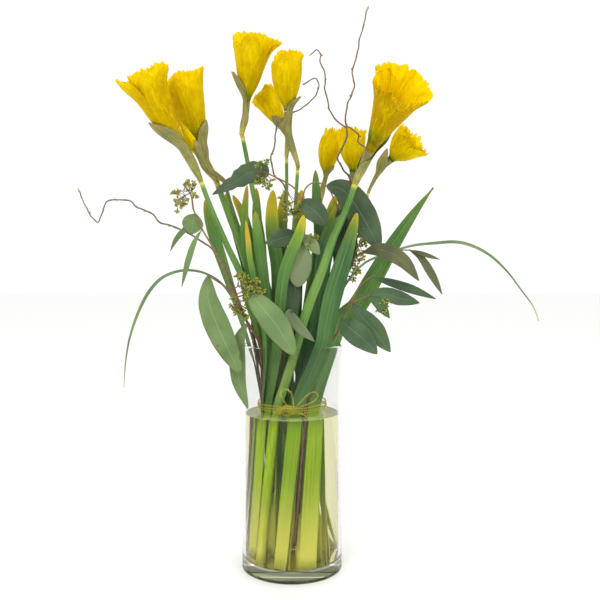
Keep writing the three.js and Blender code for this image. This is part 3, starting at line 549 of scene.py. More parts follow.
def bloomShape(flower, number):
    chance = random.Random(500 + number)
    base = Vector(flower["base"])
    axis = Vector(flower["mouth"]) - base
    length = axis.length
    radius = flower["radius"]
    turn = up.rotation_difference(axis.normalized()).to_matrix()
    looks = flowerLooks
    steps = looks["roundSteps"]
    phase = [chance.uniform(0, 6.28) for _ in range(8)]
    oval = chance.uniform(0.02, 0.05)
    frill = 0 if flower["closed"] else radius
    pleats = frill * looks["pleatDepth"]
    sway = 0.045 if radius > 13 else 0.11

    def surface(share, angle, lift, inner=0.0):  # a point on the trumpet, lifted off it or inside its wall
        flare = fade(share, 0.7, 1.0)
        lean = 0.5 * noise.noise(Vector((2.6 * share, phase[5], 1.3 * math.sin(angle))))
        pleat = ripple(angle + lean, 3.4, phase[0] + 1.2 * share)
        crinkle = ripple(angle - lean, 6.5, phase[1] + 3 * share)
        wave = math.sin(looks["waves"] * angle + phase[2] + 0.5 * math.sin(2 * angle))
        wide = trumpetRadius(share, flower) * (1 + oval * math.cos(2 * angle + phase[4]))
        wide += pleats * pleat * fade(share, 0.1, 0.5) * (0.3 + 0.7 * flare)
        wide += pleats * crinkle * fade(share, 0.3, 0.7) * (0.12 + 0.5 * flare)
        wide += flower["curl"] * frill * looks["waveDepth"] * wave * flare ** 1.5
        out = max(0.2, wide + lift - inner)
        tooth = abs(ripple(angle, 4.2, phase[3])) ** 0.75 - 0.5
        crest = flower["curl"] * looks["frillHeight"] * tooth + sway * math.sin(3 * angle + phase[5])
        crest = frill * flare ** 2 * (crest + 0.03 * ripple(angle, 11, phase[6]))
        for place, wideness, rise, spread in flower["notches"]:
            off = (math.degrees(angle) - place + 180) % 360 - 180
            near = flare ** 2 * math.exp(-(off / wideness) ** 2)
            crest += rise * near
            out += spread * near
        point = turn @ Vector((out * math.cos(angle), out * math.sin(angle), length * share + crest))
        return base + point + bowed(flower, share)

    outside = outsideShares
    inside = [] if flower["closed"] else insideShares
    angles = [2 * math.pi * k / steps for k in range(steps)]
    rows = [[surface(share, angle, 0) for angle in angles] for share in outside]
    rows += [[surface(share, angle, 0, looks["petalThickness"]) for angle in angles] for share in inside]
    within = [0.0] * len(outside) + [1.0] * len(inside)
    start = looks["budStart"] if flower["closed"] else 0.0
    shape = Shape()
    shape.skin(
        rows,
        along=[start + (1 - start) * share for share in outside + inside for _ in angles],
        across=[12 * abs(2 * k / steps - 1) for _ in rows for k in range(steps)],
        inside=[side for side in within for _ in angles],
        edge=0.0, deep=flower["deep"], green=flower["green"],
    )
    for k in range(6):
        addTepal(shape, flower, surface, math.radians(flower["roll"]) + math.pi * k / 3, k, chance)
    return shape


# One tepal: it wraps the trumpet from the base, its edges pressed in, and ends in a soft point
def addTepal(shape, flower, surface, middle, k, chance):
    looks = flowerLooks
    columns = looks["tepalColumns"]
    layer = k % 2
    radius = flower["radius"]
    loose = flower["loose"].get(k, 0.0)
    reach = chance.uniform(0.93, 0.99) if layer == 0 else chance.uniform(0.86, 0.93)
    spread = math.radians(looks["tepalSpread"] + chance.uniform(-3, 3))
    if loose:
        reach = 1.03
        spread *= 0.95
    tipLift = radius * chance.uniform(0.0, 0.012)
    skew = chance.uniform(-0.12, 0.12)
    start = looks["budStart"] if flower["closed"] else 0.0
    rows = []
    places = []
    for v in tepalShares:
        share = 0.02 + (reach - 0.02) * v
        width = spread * (0.7 + 0.3 * fade(v, 0, 0.5))
        width *= max(0.02, 1 - max(0.0, (v - 0.5) / 0.5) ** 2.8) ** 0.7
        off = (tipLift + radius * loose) * fade(v, 0.5, 1) ** 1.5

        def pairAt(x):
            angle = middle + x * width + skew * fade(v, 0.6, 1)
            pressed = 0.16 + 0.2 * layer - (0.3 + 0.2 * layer) * abs(x) ** 3
            keel = 0.25 * math.exp(-(x / 0.16) ** 2) * fade(v, 0.1, 0.4) * (1 - 0.6 * v)
            lift = pressed * fade(v, 0.0, 0.25) + keel + off
            depth = looks["tepalThickness"] * (1 - 0.7 * x ** 6) / 2
            return surface(share, angle, lift + depth), surface(share, angle, lift - depth)

        rows.append(foldedRow(pairAt, columns))
        places.append(start + (1 - start) * share)
    marks = bladeMarks(places, columns)
    edges = [abs(x) for x in marks["across"]]
    marks["across"] = [x * 1.1 + k * 3.7 for x in marks["across"]]  # no two tepals have the same streaks
    shape.skin(rows, inside=0.0, edge=edges, deep=flower["deep"], green=flower["green"], **marks)


def petalPaint():
    paint = Paint("petal")
    along, across, inside, edge = paint.marks("along", "across", "inside", "edge")
    deep, green = paint.marks("deep", "green")
    patches = paint.grain(75, 3)
    bent = across + patches * 1.4
    lines = paint.streaks(bent * 4, along * 2.2)
    fine = paint.streaks(bent * 13, along * 4, 4.0)
    specks = paint.grain(260, 3)
    ragged = along + patches * 0.12 - 0.06 - green
    body = paint.ramp(
        ragged,
        (0.0, (26, 76, 14)), (0.05, (58, 104, 8)), (0.11, (128, 142, 0)), (0.2, (186, 164, 0)),
        (0.36, (214, 180, 0)), (0.62, (228, 194, 0)), (0.84, (230, 194, 0)), (1.0, (232, 196, 0)),
    )
    outer = paint.coats(
        body,
        # painted shade: soft ochre patches stand in for the light and shade over the petal's crumples
        ((1 - patches.fade(0.36, 0.6)) * 0.5, (188, 146, 0)),
        # painted shade: each bloom's body is darkened towards ochre by its own share, leaving its green foot
        # and its bright rim
        (deep * (1 - ragged.fade(0.7, 0.95)) * ragged.fade(0.06, 0.2), (172, 130, 0)),
        # the pale streaks are partly the petal's veining and partly painted highlight on its ridges,
        # stronger towards the rim; the ochre between them is partly painted shade in the furrows
        (lines.fade(0.5, 0.7) * (0.2 + along * 0.3), (248, 214, 0)),
        ((1 - lines.fade(0.32, 0.5)) * 0.3, (186, 142, 0)),
        ((1 - fine.fade(0.3, 0.5)) * 0.13, (160, 116, 0)),
        (specks.fade(0.5, 0.7) * 0.16, (250, 220, 0)),
        # painted shade: the tepals' edges darken towards ochre near their tips, where they lie over the
        # trumpet
        (edge.fade(0.9, 1.0) * along.fade(0.6, 0.95) * 0.3, (196, 142, 0)),
    )
    throat = paint.coats(
        paint.ramp(
            along, (0.2, (120, 124, 0)), (0.5, (206, 170, 0)), (0.75, (240, 204, 0)), (1.0, (242, 206, 0)),
        ),
        ((1 - lines.fade(0.36, 0.56)) * 0.45, (206, 164, 0)),
        (fine.fade(0.5, 0.66) * 0.4, (248, 216, 0)),
    )
    relief = lines * 0.8 + fine * 0.3 + patches * 0.6
    colour = paint.mix(inside, outer, throat)
    soft = softened(0.2, 0.004, 0.0026, 0.0003)
    return paint.finish(colour, 0.6 + fine * 0.14, paint.bump(relief, 0.5, 0.0006), shine=0.03, others=soft)


def stemPaint():  # heights are in metres; under the water's top a stem is yellower, and its foot pale
    paint = Paint("daffodilStem")
    height = paint.height()
    along, rings = paint.marks("along", "round")
    lines = paint.streaks(rings * 22, along * 3)
    clouds = paint.grain(40, 3, (1, 1, 0.3))
    dry = paint.coats(
        tint(66, 112, 46),
        (clouds.fade(0.3, 0.7), (112, 146, 62)),
        (lines.fade(0.42, 0.66) * 0.35, (134, 166, 96)),
    )
    soaked = paint.coats(tint(172, 208, 4), (lines.fade(0.42, 0.62) * 0.4, (110, 150, 0)))
    colour = paint.coats(
        paint.mix(1 - height.fade(0.125, 0.152), dry, soaked),
        (1 - height.fade(0.015, 0.085), (236, 234, 110)), (along.fade(0.975, 1.0), (206, 196, 84)),
    )
    soft = softened(0.1, 0.002, 0.003, 0.001)
    return paint.finish(colour, 0.42 + lines * 0.14, paint.bump(lines, 0.5, 0.0004), shine=0.25, others=soft)


def sheathPaint():
    paint = Paint("paperySheath")
    along, across = paint.marks("along", "across")
    lines = paint.streaks(across * 13, along * 1.6)
    fine = paint.streaks(across * 40, along * 4, 2.0)
    clouds = paint.grain(70, 4)
    body = paint.ramp(
        along,
        (0.0, (214, 198, 50)), (0.08, (188, 176, 74)), (0.22, (156, 146, 74)), (0.5, (128, 126, 60)),
        (1.0, (146, 132, 80)),
    )
    colour = paint.coats(
        body,
        (lines.fade(0.44, 0.6) * 0.5, (88, 84, 30)),
        (clouds.fade(0.42, 0.62) * 0.6, (84, 98, 40)),
        (fine.fade(0.48, 0.62) * 0.4, (204, 194, 140)),
    )
    relief = paint.bump(lines + fine * 0.4, 0.6, 0.0004)
    soft = softened(0.1, 0.003, 0.002, 0.001)
    return paint.finish(colour, 0.5 + fine * 0.2, relief, shine=0.2, others=soft)


sheathLooks = {
    "gap": 0.3,              # between the neck and the stem or bloom it joins
    "neckSides": 24,
    "start": 0.25,           # where on the neck the sheath starts, as a share
    "steps": 14,             # rows of points above the neck
    "columns": 23,
    "thickness": 0.35,
    "clear": 0.9,            # how far it stands off what it wraps
    "closedWrap": 176,       # half the angle it wraps round the neck, in degrees
}


# The neck between stem and bloom, with the papery sheath that wraps it and the bloom's foot
def sheathShape(flower, number):
    looks = sheathLooks
    top = Vector(flower["stem"][-1])
    way = (top - Vector(flower["stem"][-2])).normalized()
    base = Vector(flower["base"])
    axis = Vector(flower["mouth"]) - base
    length = axis.length
    axis.normalize()
    start = top + way * looks["gap"]
    end = base - axis * looks["gap"]
    middle = end - axis * 0.35 * (end - start).length
    stations = smoothLine([start, start + way * 4, middle, end], perSpan=10)
    topRadius = flowerLooks["stemTaper"] * flower["stemRadius"]
    footRadius = trumpetRadius(0, flower)

    def neckAt(share):
        return blendNumber(topRadius, footRadius, share ** 1.5)

    shape = Shape()
    sides = looks["neckSides"]
    across = [k / 5 for _ in stations for k in range(sides)]
    tube(shape, stations, lambda station: neckAt(station.share), sides, across=across)
    if "sheath" in flower:
        addOpenSheath(shape, flower)
        return shape
    tip = Vector(flower["spathe"])
    tipShare = max(0.05, (tip - base).dot(axis) / length)
    away = tip - (base + axis * tipShare * length)
    farOff = (away - bowed(flower, tipShare)).length
    # Each row has its middle, its way, its step (-1 to 0 on the neck, to 1 above) and its share of the bloom
    first = int(looks["start"] * len(stations))
    spine = [(station.at, station.way, -1 + station.share, 0) for station in stations[first:]]
    for k in range(1, looks["steps"] + 1):
        step = k / looks["steps"]
        share = tipShare * step
        spine.append((base + axis * share * length + bowed(flower, share), axis, step, share))
    low = spine[0][2]
    columns = looks["columns"]
    rows = []
    places = []
    for at, line, step, share in spine:
        place = (step - low) / (1 - low)  # 0 where the sheath starts on the neck, 1 at its tip
        above = max(0.0, step)
        close = neckAt(1 + step) if step < 0 else trumpetRadius(share, flower)
        close += looks["clear"] * fade(place, 0, 0.2)
        far = blendNumber(close, max(farOff, close), above ** 3)
        far += 0.07 * flower["radius"] * math.sin(math.pi * above)
        outward = (away - line * away.dot(line)).normalized()
        wrap = flower["wrap"]
        if step < 0:
            wrap = blendNumber(looks["closedWrap"], wrap, fade(place, 0.1, -low / (1 - low)))
        wrap *= max(0.02, 1 - above ** 1.6) ** 0.9

        def pairAt(x):
            spin = Matrix.Rotation(math.radians(x * wrap), 3, line) @ outward
            crease = 0.25 * math.sin(8 * x + 4 * place + number) * fade(place, 0.1, 0.5)
            radius = blendNumber(far, close, abs(x) ** 1.4 * 0.5) + crease * (1 - abs(x))
            return at + spin * (radius + looks["thickness"]), at + spin * radius

        rows.append(foldedRow(pairAt, columns))
        places.append(0.08 + 0.92 * place)
    shape.skin(rows, **bladeMarks(places, columns))
    return shape


def addOpenSheath(shape, flower):  # a broad papery blade, folded towards the bloom
    columns = sheathLooks["columns"]
    spine = smoothLine(flower["sheath"], perSpan=14)
    face = turned(toViewer, -30)
    rows = []
    for station in spine:
        share = station.share
        half = flower["sheathHalf"] * (0.3 + 0.7 * fade(share, 0, 0.45)) * max(0.02, 1 - share ** 3) ** 0.8
        half *= 1 + 0.05 * math.sin(14 * share)
        rows.append(bladeRow(station, face, half, sheathLooks["thickness"], -0.45 * half, columns))
    shape.skin(rows, **bladeMarks([0.1 + 0.9 * station.share for station in spine], columns))


def addDaffodils():
    petal = petalPaint()
    green = stemPaint()
    papery = sheathPaint()
    taper = 1 - flowerLooks["stemTaper"]
    for number, given in enumerate(daffodils, 1):
        flower = {**flowerDefaults, **given}

        def radiusAt(station):
            return flower["stemRadius"] * (1 - taper * fade(station.share, 0.5, 1))

        name = f"daffodil_{number}"
        stem = Shape()
        stations = stalk(flower["rim"], flower["stem"], perSpan=8)
        tube(stem, stations, radiusAt, flowerLooks["stemSides"])
        makePiece(name + "_stalk", stem, [green], name + "_stem")
        makePiece(name + "_sheath", sheathShape(flower, number), [papery], name + "_spathe")
        makePiece(name + "_petals", bloomShape(flower, number), [petal], name + "_bloom")
    print("daffodils are made")


# Strap leaves: where each crosses the rim and runs above it, and half its width. Its face turns from
# turn to topTurn between the two shares of its length in twist. It widens from footWidth at the cord
# to its full width at bodyEnd and narrows to its tip from there, more pointed where taper is higher.
# The tip's look is from what share of the length it is coloured, how strongly, and 0 for yellow to 1
# for tan. What a leaf doesn't give is taken from leafDefaults.
leaves = [
    {
        "rim": [37.5, -4], "turn": 84, "topTurn": -5, "half": 8.8, "bodyEnd": 0.4, "taper": 0.9,
        "twist": (0.05, 0.6), "tip": (0.97, 0.3, 0.3),
        "upper": [[44, -9, 222], [57, -8, 233], [73, -4, 258], [92, 0, 290], [111, 2, 318], [128, 4, 340]],
    },
    {
        "rim": [26, -24], "turn": 38, "topTurn": -10, "half": 9.4, "bodyEnd": 0.35, "footWidth": 0.6,
        "tip": (0.95, 0.6, 0.1),
        "upper": [[29, -25, 215], [34, -26.5, 240], [43, -28, 270], [51, -29, 296], [56, -30, 315]],
    },
    {
        "rim": [-13, -27.5], "topTurn": 15, "half": 5.2, "tip": (0.93, 0.75, 0.1),
        "upper": [[-11, -30, 230], [-7, -31, 262], [-1, -32, 280], [6, -33, 297], [10, -35, 313]],
    },
    {
        "rim": [-21, -20.5], "half": 4.8, "tip": (0.95, 0.3, 0.2),
        "upper": [[-23, -20, 240], [-26, -20, 270], [-30, -20, 296], [-32, -20, 317]],
    },
    {
        "rim": [-11, -12], "half": 6.2, "tip": (0.87, 0.85, 0.1),
        "upper": [[-12, -10, 239], [-13, -8, 270], [-17, -6, 297], [-18, -5, 319], [-17, -4, 337]],
    },
    {
        "rim": [-9, -5.5], "half": 4, "tip": (0.88, 0.8, 0.35),
        "upper": [[-10, -2, 238], [-10, 0, 265], [-10, 3, 293], [-10, 6, 315], [-8, 8, 336]],
    },
    {
        "rim": [-20.5, -7], "topTurn": 20, "half": 3.6, "tip": (0.93, 0.8, 0.85),
        "upper": [[-30, -8, 230], [-38, -9, 261], [-42, -9, 292], [-42, -9, 319], [-40, -8, 341]],
    },
    {
        "rim": [-23, -30.5], "turn": -37, "half": 2.5, "tip": (0.85, 0.8, 0.7),
        "upper": [[-29, -28, 240], [-36, -28, 274], [-38, -28, 292], [-40, -27, 309]],
    },
    {
        "rim": [-28, 20], "turn": -125, "topTurn": -160, "half": 5, "tip": (0.93, 0.6, 0.4),
        "upper": [[-28, 22, 240], [-29, 22, 265], [-32, 20, 311], [-33, 19, 341]],
    },
    {
        "rim": [-36.9, -14.4], "turn": -68, "topTurn": -5, "half": 5.4, "tip": (0.95, 0.5, 0.5),
        "upper": [
            [-41, -17, 213], [-49, -19, 239], [-58, -20, 266], [-66, -20, 290], [-72, -20, 310],
            [-76, -20, 327],
        ],
    },
    {
        "rim": [-33.5, 8], "turn": -102, "topTurn": -140, "half": 4.6, "tip": (0.9, 0.9, 0.7),
        "upper": [[-36, 7, 229], [-42, 7, 265], [-50, 8, 297], [-55, 10, 320], [-61, 11, 335]],
    },
    {
        "rim": [-14, 23], "turn": -180, "topTurn": -160, "half": 5, "tip": (0.92, 0.8, 0.6),
        "upper": [[-24, 32, 247], [-38, 33, 288], [-46, 34, 317], [-56, 38, 336]],
    },
    {
        "rim": [10, -4], "half": 4.6, "tip": (0.98, 0.2, 0.2),
        "upper": [[15, -6, 229], [22, -7, 270], [24, -6, 300], [22, -4, 328], [21, -3, 355]],
    },
    {
        "rim": [4, 17], "half": 6, "tip": (0.88, 0.9, 0.45),
        "upper": [[4, 22, 247], [6, 25, 293], [8, 27, 325], [9, 28, 340]],
    },
    {
        "rim": [17, 14], "half": 6.4, "tip": (0.93, 0.7, 0.3),
        "upper": [[22, 17, 242], [29, 20, 284], [36, 20, 316], [40, 20, 334]],
    },
    {
        "rim": [21, -16], "half": 7.6, "tip": (0.93, 0.5, 0.3),
        "upper": [[24, -19, 240], [27, -20, 273], [33, -20, 296], [39, -20, 314], [43, -20, 325]],
    },
]
leafDefaults = {
    "turn": 0, "topTurn": 0, "twist": (0.3, 1), "footWidth": 0.86, "bodyEnd": 0.8, "taper": 0.5,
}
leafLooks = {"columns": 13, "thickness": 1.0, "channel": 0.16}


def strapWidth(share, leaf):  # a leaf's width up its length, as a share of its full width
    start = leaf["bodyEnd"]
    if share < start:
        return leaf["footWidth"] + (1 - leaf["footWidth"]) * max(0, share) / start
    rest = (share - start) / (1 - start)
    return max(0.1, max(0.0, 1 - rest * rest) ** leaf["taper"])


def addStrapLeaves():
    paint = leafPaint()
    looks = leafLooks
    for number, given in enumerate(leaves, 1):
        leaf = {**leafDefaults, **given}
        chance = random.Random(40 + number)
        stations = stalk(leaf["rim"], leaf["upper"], perSpan=9)
        rows = []
        for station in stations:
            turn = blendNumber(leaf["turn"], leaf["topTurn"], fade(max(0, station.share), *leaf["twist"]))
            face = turned(toViewer, turn + turnAt(station.at.z))
            half = leaf["half"] * strapWidth(station.share, leaf)
            fold = looks["channel"] * half * (0.6 + 0.4 * fade(station.share, 0.05, 0.4))
            rows.append(bladeRow(station, face, half, looks["thickness"], fold, looks["columns"]))
        marks = dict(zip(("tipStart", "tipTint", "tan"), leaf["tip"]), blue=chance.uniform(0, 1))
        shape = Shape()
        skinBlade(shape, stations, rows, looks["columns"], **marks)
        makePiece(f"daffodil_leaf_{number}_strap", shape, [paint], f"daffodil_leaf_{number}")
    print("strap leaves are made")


def leafPaint():
    paint = Paint("strapLeaf")
    along, across, blue = paint.marks("along", "across", "blue")
    tipStart, tipTint, tan = paint.marks("tipStart", "tipTint", "tan")
    height = paint.height()
    veins = paint.streaks(across * 9, along * 2, blue * 30)
    fine = paint.streaks(across * 30, along * 6, blue * 30 + 7)
    clouds = paint.grain(28, 4, (1, 1, 0.4))
    dry = paint.coats(
        tint(50, 90, 34),
        (clouds.fade(0.32, 0.68), (88, 130, 50)),
        (blue.fade(0.3, 0.9) * 0.85, (46, 88, 58)),
        (veins.fade(0.44, 0.62) * 0.4, (98, 134, 72)),
        ((1 - abs(across).fade(0.0, 0.12)) * 0.3, (112, 146, 84)),
        (fine.fade(0.52, 0.64) * 0.22, (132, 164, 104)),
    )
    soaked = paint.coats(
        tint(180, 212, 12), (blue, (120, 166, 2)), (veins.fade(0.42, 0.6) * 0.4, (92, 132, 0)),
    )
    tipPlace = along - tipStart + abs(across) * 0.03 + veins * 0.05
    body = paint.coats(
        paint.mix(1 - height.fade(0.125, 0.155), dry, soaked),
        (1 - height.fade(0.015, 0.095), (234, 232, 120)),
        (tipPlace.fade(-0.12, 0.06) * tipTint * 0.8, (136, 158, 36)),
    )
    tipColour = paint.coats(tint(206, 184, 26), (tan, (190, 138, 52)))
    colour = paint.mix(tipPlace.fade(0.0, 0.1) * tipTint, body, tipColour)
    relief = paint.bump(veins + fine * 0.5, 0.55, 0.0005)
    soft = softened(0.08, 0.002, 0.003, 0.001)
    return paint.finish(colour, 0.44 + fine * 0.2, relief, shine=0.25, others=soft)


# Lily grass: two long narrow blades that arch out over the rim
grasses = [
    {
        "rim": [-39.2, -4], "turn": -85, "half": 1.7,
        "upper": [
            [-45, -9, 222], [-52, -14, 240], [-61, -17, 253], [-72, -19, 261], [-84, -20, 265],
            [-98, -21, 265], [-113, -24, 259], [-124, -26, 247], [-133, -28, 229], [-140, -30, 207],
            [-143, -32, 187], [-144, -34, 165],
        ],
    },
    {
        "rim": [24.5, -21.2], "turn": 38, "half": 1.6,
        "upper": [
            [31, -21.5, 218], [41, -22.5, 243], [53, -22.5, 262], [62, -26, 271], [70, -36, 276],
            [82, -41, 280], [92, -41, 284], [104, -39, 287], [122, -36, 289], [141, -32, 290],
            [155, -29, 287], [171, -26, 279], [187, -23, 265], [200, -20, 249], [212, -18, 233],
            [217, -16, 221],
        ],
    },
]
grassLooks = {"columns": 7, "thickness": 0.7, "fold": 0.3, "foot": 40}


def addLilyGrass():
    paint = grassPaint()
    looks = grassLooks
    for number, blade in enumerate(grasses, 1):
        stations = stalk(blade["rim"], blade["upper"], perSpan=9, foot=looks["foot"])
        rows = []
        for station in stations:
            turn = blade["turn"] * (1 - fade(station.share, 0, 0.35))
            face = turned(toViewer, turn + turnAt(station.at.z))
            edgeOn = fade(station.share, 0.12, 0.3) * (1 - fade(station.share, 0.5, 0.75))
            half = blade["half"] * (1 - 0.4 * edgeOn) * (1 - 0.7 * fade(station.share, 0.6, 1))
            fold = looks["fold"] * half
            rows.append(bladeRow(station, face, half, looks["thickness"], fold, looks["columns"]))
        shape = Shape()
        skinBlade(shape, stations, rows, looks["columns"])
        makePiece(f"lily_grass_{number}_blade", shape, [paint], f"lily_grass_{number}")
    print("lily grass is made")


def grassPaint():
    paint = Paint("lilyGrass")
    along, across = paint.marks("along", "across")
    veins = paint.streaks(across * 7, along * 9)
    colour = paint.coats(
        tint(62, 92, 52),
        (paint.grain(35, 3).fade(0.35, 0.65), (96, 124, 72)),
        (veins.fade(0.42, 0.6) * 0.5, (132, 154, 104)),
        (1 - paint.height().fade(0.1, 0.19), (158, 180, 110)),
        (along.fade(0.93, 1.0), (186, 180, 120)),
    )
    return paint.finish(colour, 0.42 + veins * 0.12, paint.bump(veins))


# Curly willow: branches that wind up out of the bundle, with side twigs and small buds
willows = [
    {
        "rim": [18.5, -9], "foot": 30, "radius": 1.2,
        "upper": [
            [27, -12, 250], [41, -12, 300], [52, -12, 330], [52, -15, 344], [43, -24, 356], [40, -26, 363],
            [43, -27, 371], [47, -28, 382], [47, -28, 391], [46, -26, 401], [51, -21, 417], [55, -17, 428],
            [53, -14, 440], [57, -13, 454], [61, -12, 475], [67, -10, 497],
        ],
        "twigs": [
            [
                [47, -28, 389], [41, -25, 394], [33, -20, 405], [32, -18, 414], [29, -16, 424],
                [29, -14, 440], [25, -12, 452], [26, -10, 457], [22, -10, 461], [18, -10, 458],
            ],
            [[47, -28, 390], [53, -31, 387], [58, -31, 382], [57, -29, 377], [62, -27, 373]],
        ],
    },
    {
        "rim": [-8, -18], "foot": 60, "radius": 1.1,
        "upper": [
            [-8, -17, 240], [-5, -15, 290], [-7, -13, 328], [-6, -12, 339], [-16, -13, 351],
            [-18, -13, 364], [-16, -6, 378], [-15, 2, 388], [-12, 9, 399], [-5, 12, 406], [6, 10, 411],
            [20, 2, 421], [24, -2, 431], [21, -3, 438], [12, 2, 434],
        ],
    },
    {
        "rim": [-33, -22], "foot": 45, "radius": 1.1,
        "upper": [
            [-45, -29, 237], [-56, -32, 265], [-69, -32, 284], [-82, -32, 293], [-101, -33, 303],
            [-111, -33, 306], [-122, -32, 315], [-131, -30, 319], [-142, -28, 326], [-161, -25, 324],
            [-169, -24, 307], [-180, -22, 321], [-186, -20, 334],
        ],
    },
]
willowLooks = {
    "sides": 12, "taper": 0.55, "knobEvery": 13.0, "wander": 0.7,
    "twigShare": 0.62, "twigTaper": 0.3,  # a side twig's radius as a share of its branch's
    "budLength": 4.2, "budSides": 8, "budEvery": 17,  # stations between two small buds
}
# A bud's or seed cup's radius up its length, as shares
cupOutline = [(0, 0.35), (0.15, 0.85), (0.38, 1), (0.62, 0.8), (0.84, 0.45), (1, 0.08)]


def barkTube(shape, stations, radius, taper, chance):  # it wanders a little and has knobs and rough bark
    looks = willowLooks
    seed = chance.uniform(0, 50)
    rows = []
    for station, run in zip(stations, runLengths(stations)):
        knob = 0.22 * math.exp(-((run + seed) % looks["knobEvery"] / 1.6 - 1) ** 2)
        side, out = sideAndOut(station.way, toViewer)
        bow = looks["wander"] * fade(station.at.z, 210, 260)
        at = station.at + side * bow * noise.noise(Vector((run * 0.11, seed, 3))) * 2
        at += side * bow * 0.5 * noise.noise(Vector((run * 0.3, seed, 9)))
        row = []
        for way in ringWays(side, out, looks["sides"]):
            rough = 0.1 * noise.noise(way * 1.5 + Vector((run * 0.35, seed, 0)))
            row.append(at + way * radius * (1 - taper * max(0.0, station.share)) * (1 + knob + rough))
        rows.append(row)
    shape.skin(rows, **roundMarks(stations, looks["sides"]), bud=0.0)


def addBud(shape, at, way, length, radius, kind=0, **marks):
    spins = ringWays(*anySideAndOut(way), willowLooks["budSides"])
    rows = []
    for share, wide in cupOutline:
        rows.append([at + way * length * share + spin * radius * wide for spin in spins])
    shape.skin(rows, kind, **marks)


def addCurlyWillow():
    paint = barkPaint()
    looks = willowLooks
    for number, willow in enumerate(willows, 1):
        chance = random.Random(60 + number)
        shape = Shape()
        stations = stalk(willow["rim"], willow["upper"], perSpan=8, foot=willow["foot"])
        barkTube(shape, stations, willow["radius"], looks["taper"], chance)
        routes = [stations]
        for twig in willow.get("twigs", []):
            route = smoothLine(twig, perSpan=8)
            barkTube(shape, route, looks["twigShare"] * willow["radius"], looks["twigTaper"], chance)
            routes.append(route)
        for route in routes:
            for station in route[len(route) // 2:len(route) - 6:looks["budEvery"]]:
                side, out = sideAndOut(station.way, toViewer)
                lean = side * chance.choice((-1, 1)) * 0.5 + out * chance.uniform(-0.3, 0.3) + station.way
                length = looks["budLength"] * 0.7
                addBud(shape, station.at, lean.normalized(), length, 0.6, bud=0.5, along=0.5)
            last = route[-1]
            radius = willow["radius"] * (0.5 if route is stations else 0.4) + 0.25
            addBud(shape, last.at - last.way * 0.5, last.way, looks["budLength"], radius, bud=1.0, along=1.0)
        makePiece(f"curly_willow_{number}_bark", shape, [paint], f"curly_willow_{number}")
    print("curly willow is made")


def barkPaint():
    paint = Paint("willowBark")
    along, rings, bud = paint.marks("along", "round", "bud")
    spots = paint.grain(600, 4)
    ridges = paint.streaks(rings * 9, along * 60)
    colour = paint.coats(
        tint(84, 62, 50),
        (ridges.fade(0.35, 0.65), (128, 100, 80)),
        (spots.fade(0.48, 0.66) * 0.55, (118, 116, 74)),
        (bud * 0.85, (140, 164, 76)),
    )
    return paint.finish(colour, 0.6 + spots * 0.15, paint.bump(ridges + spots, 0.6))


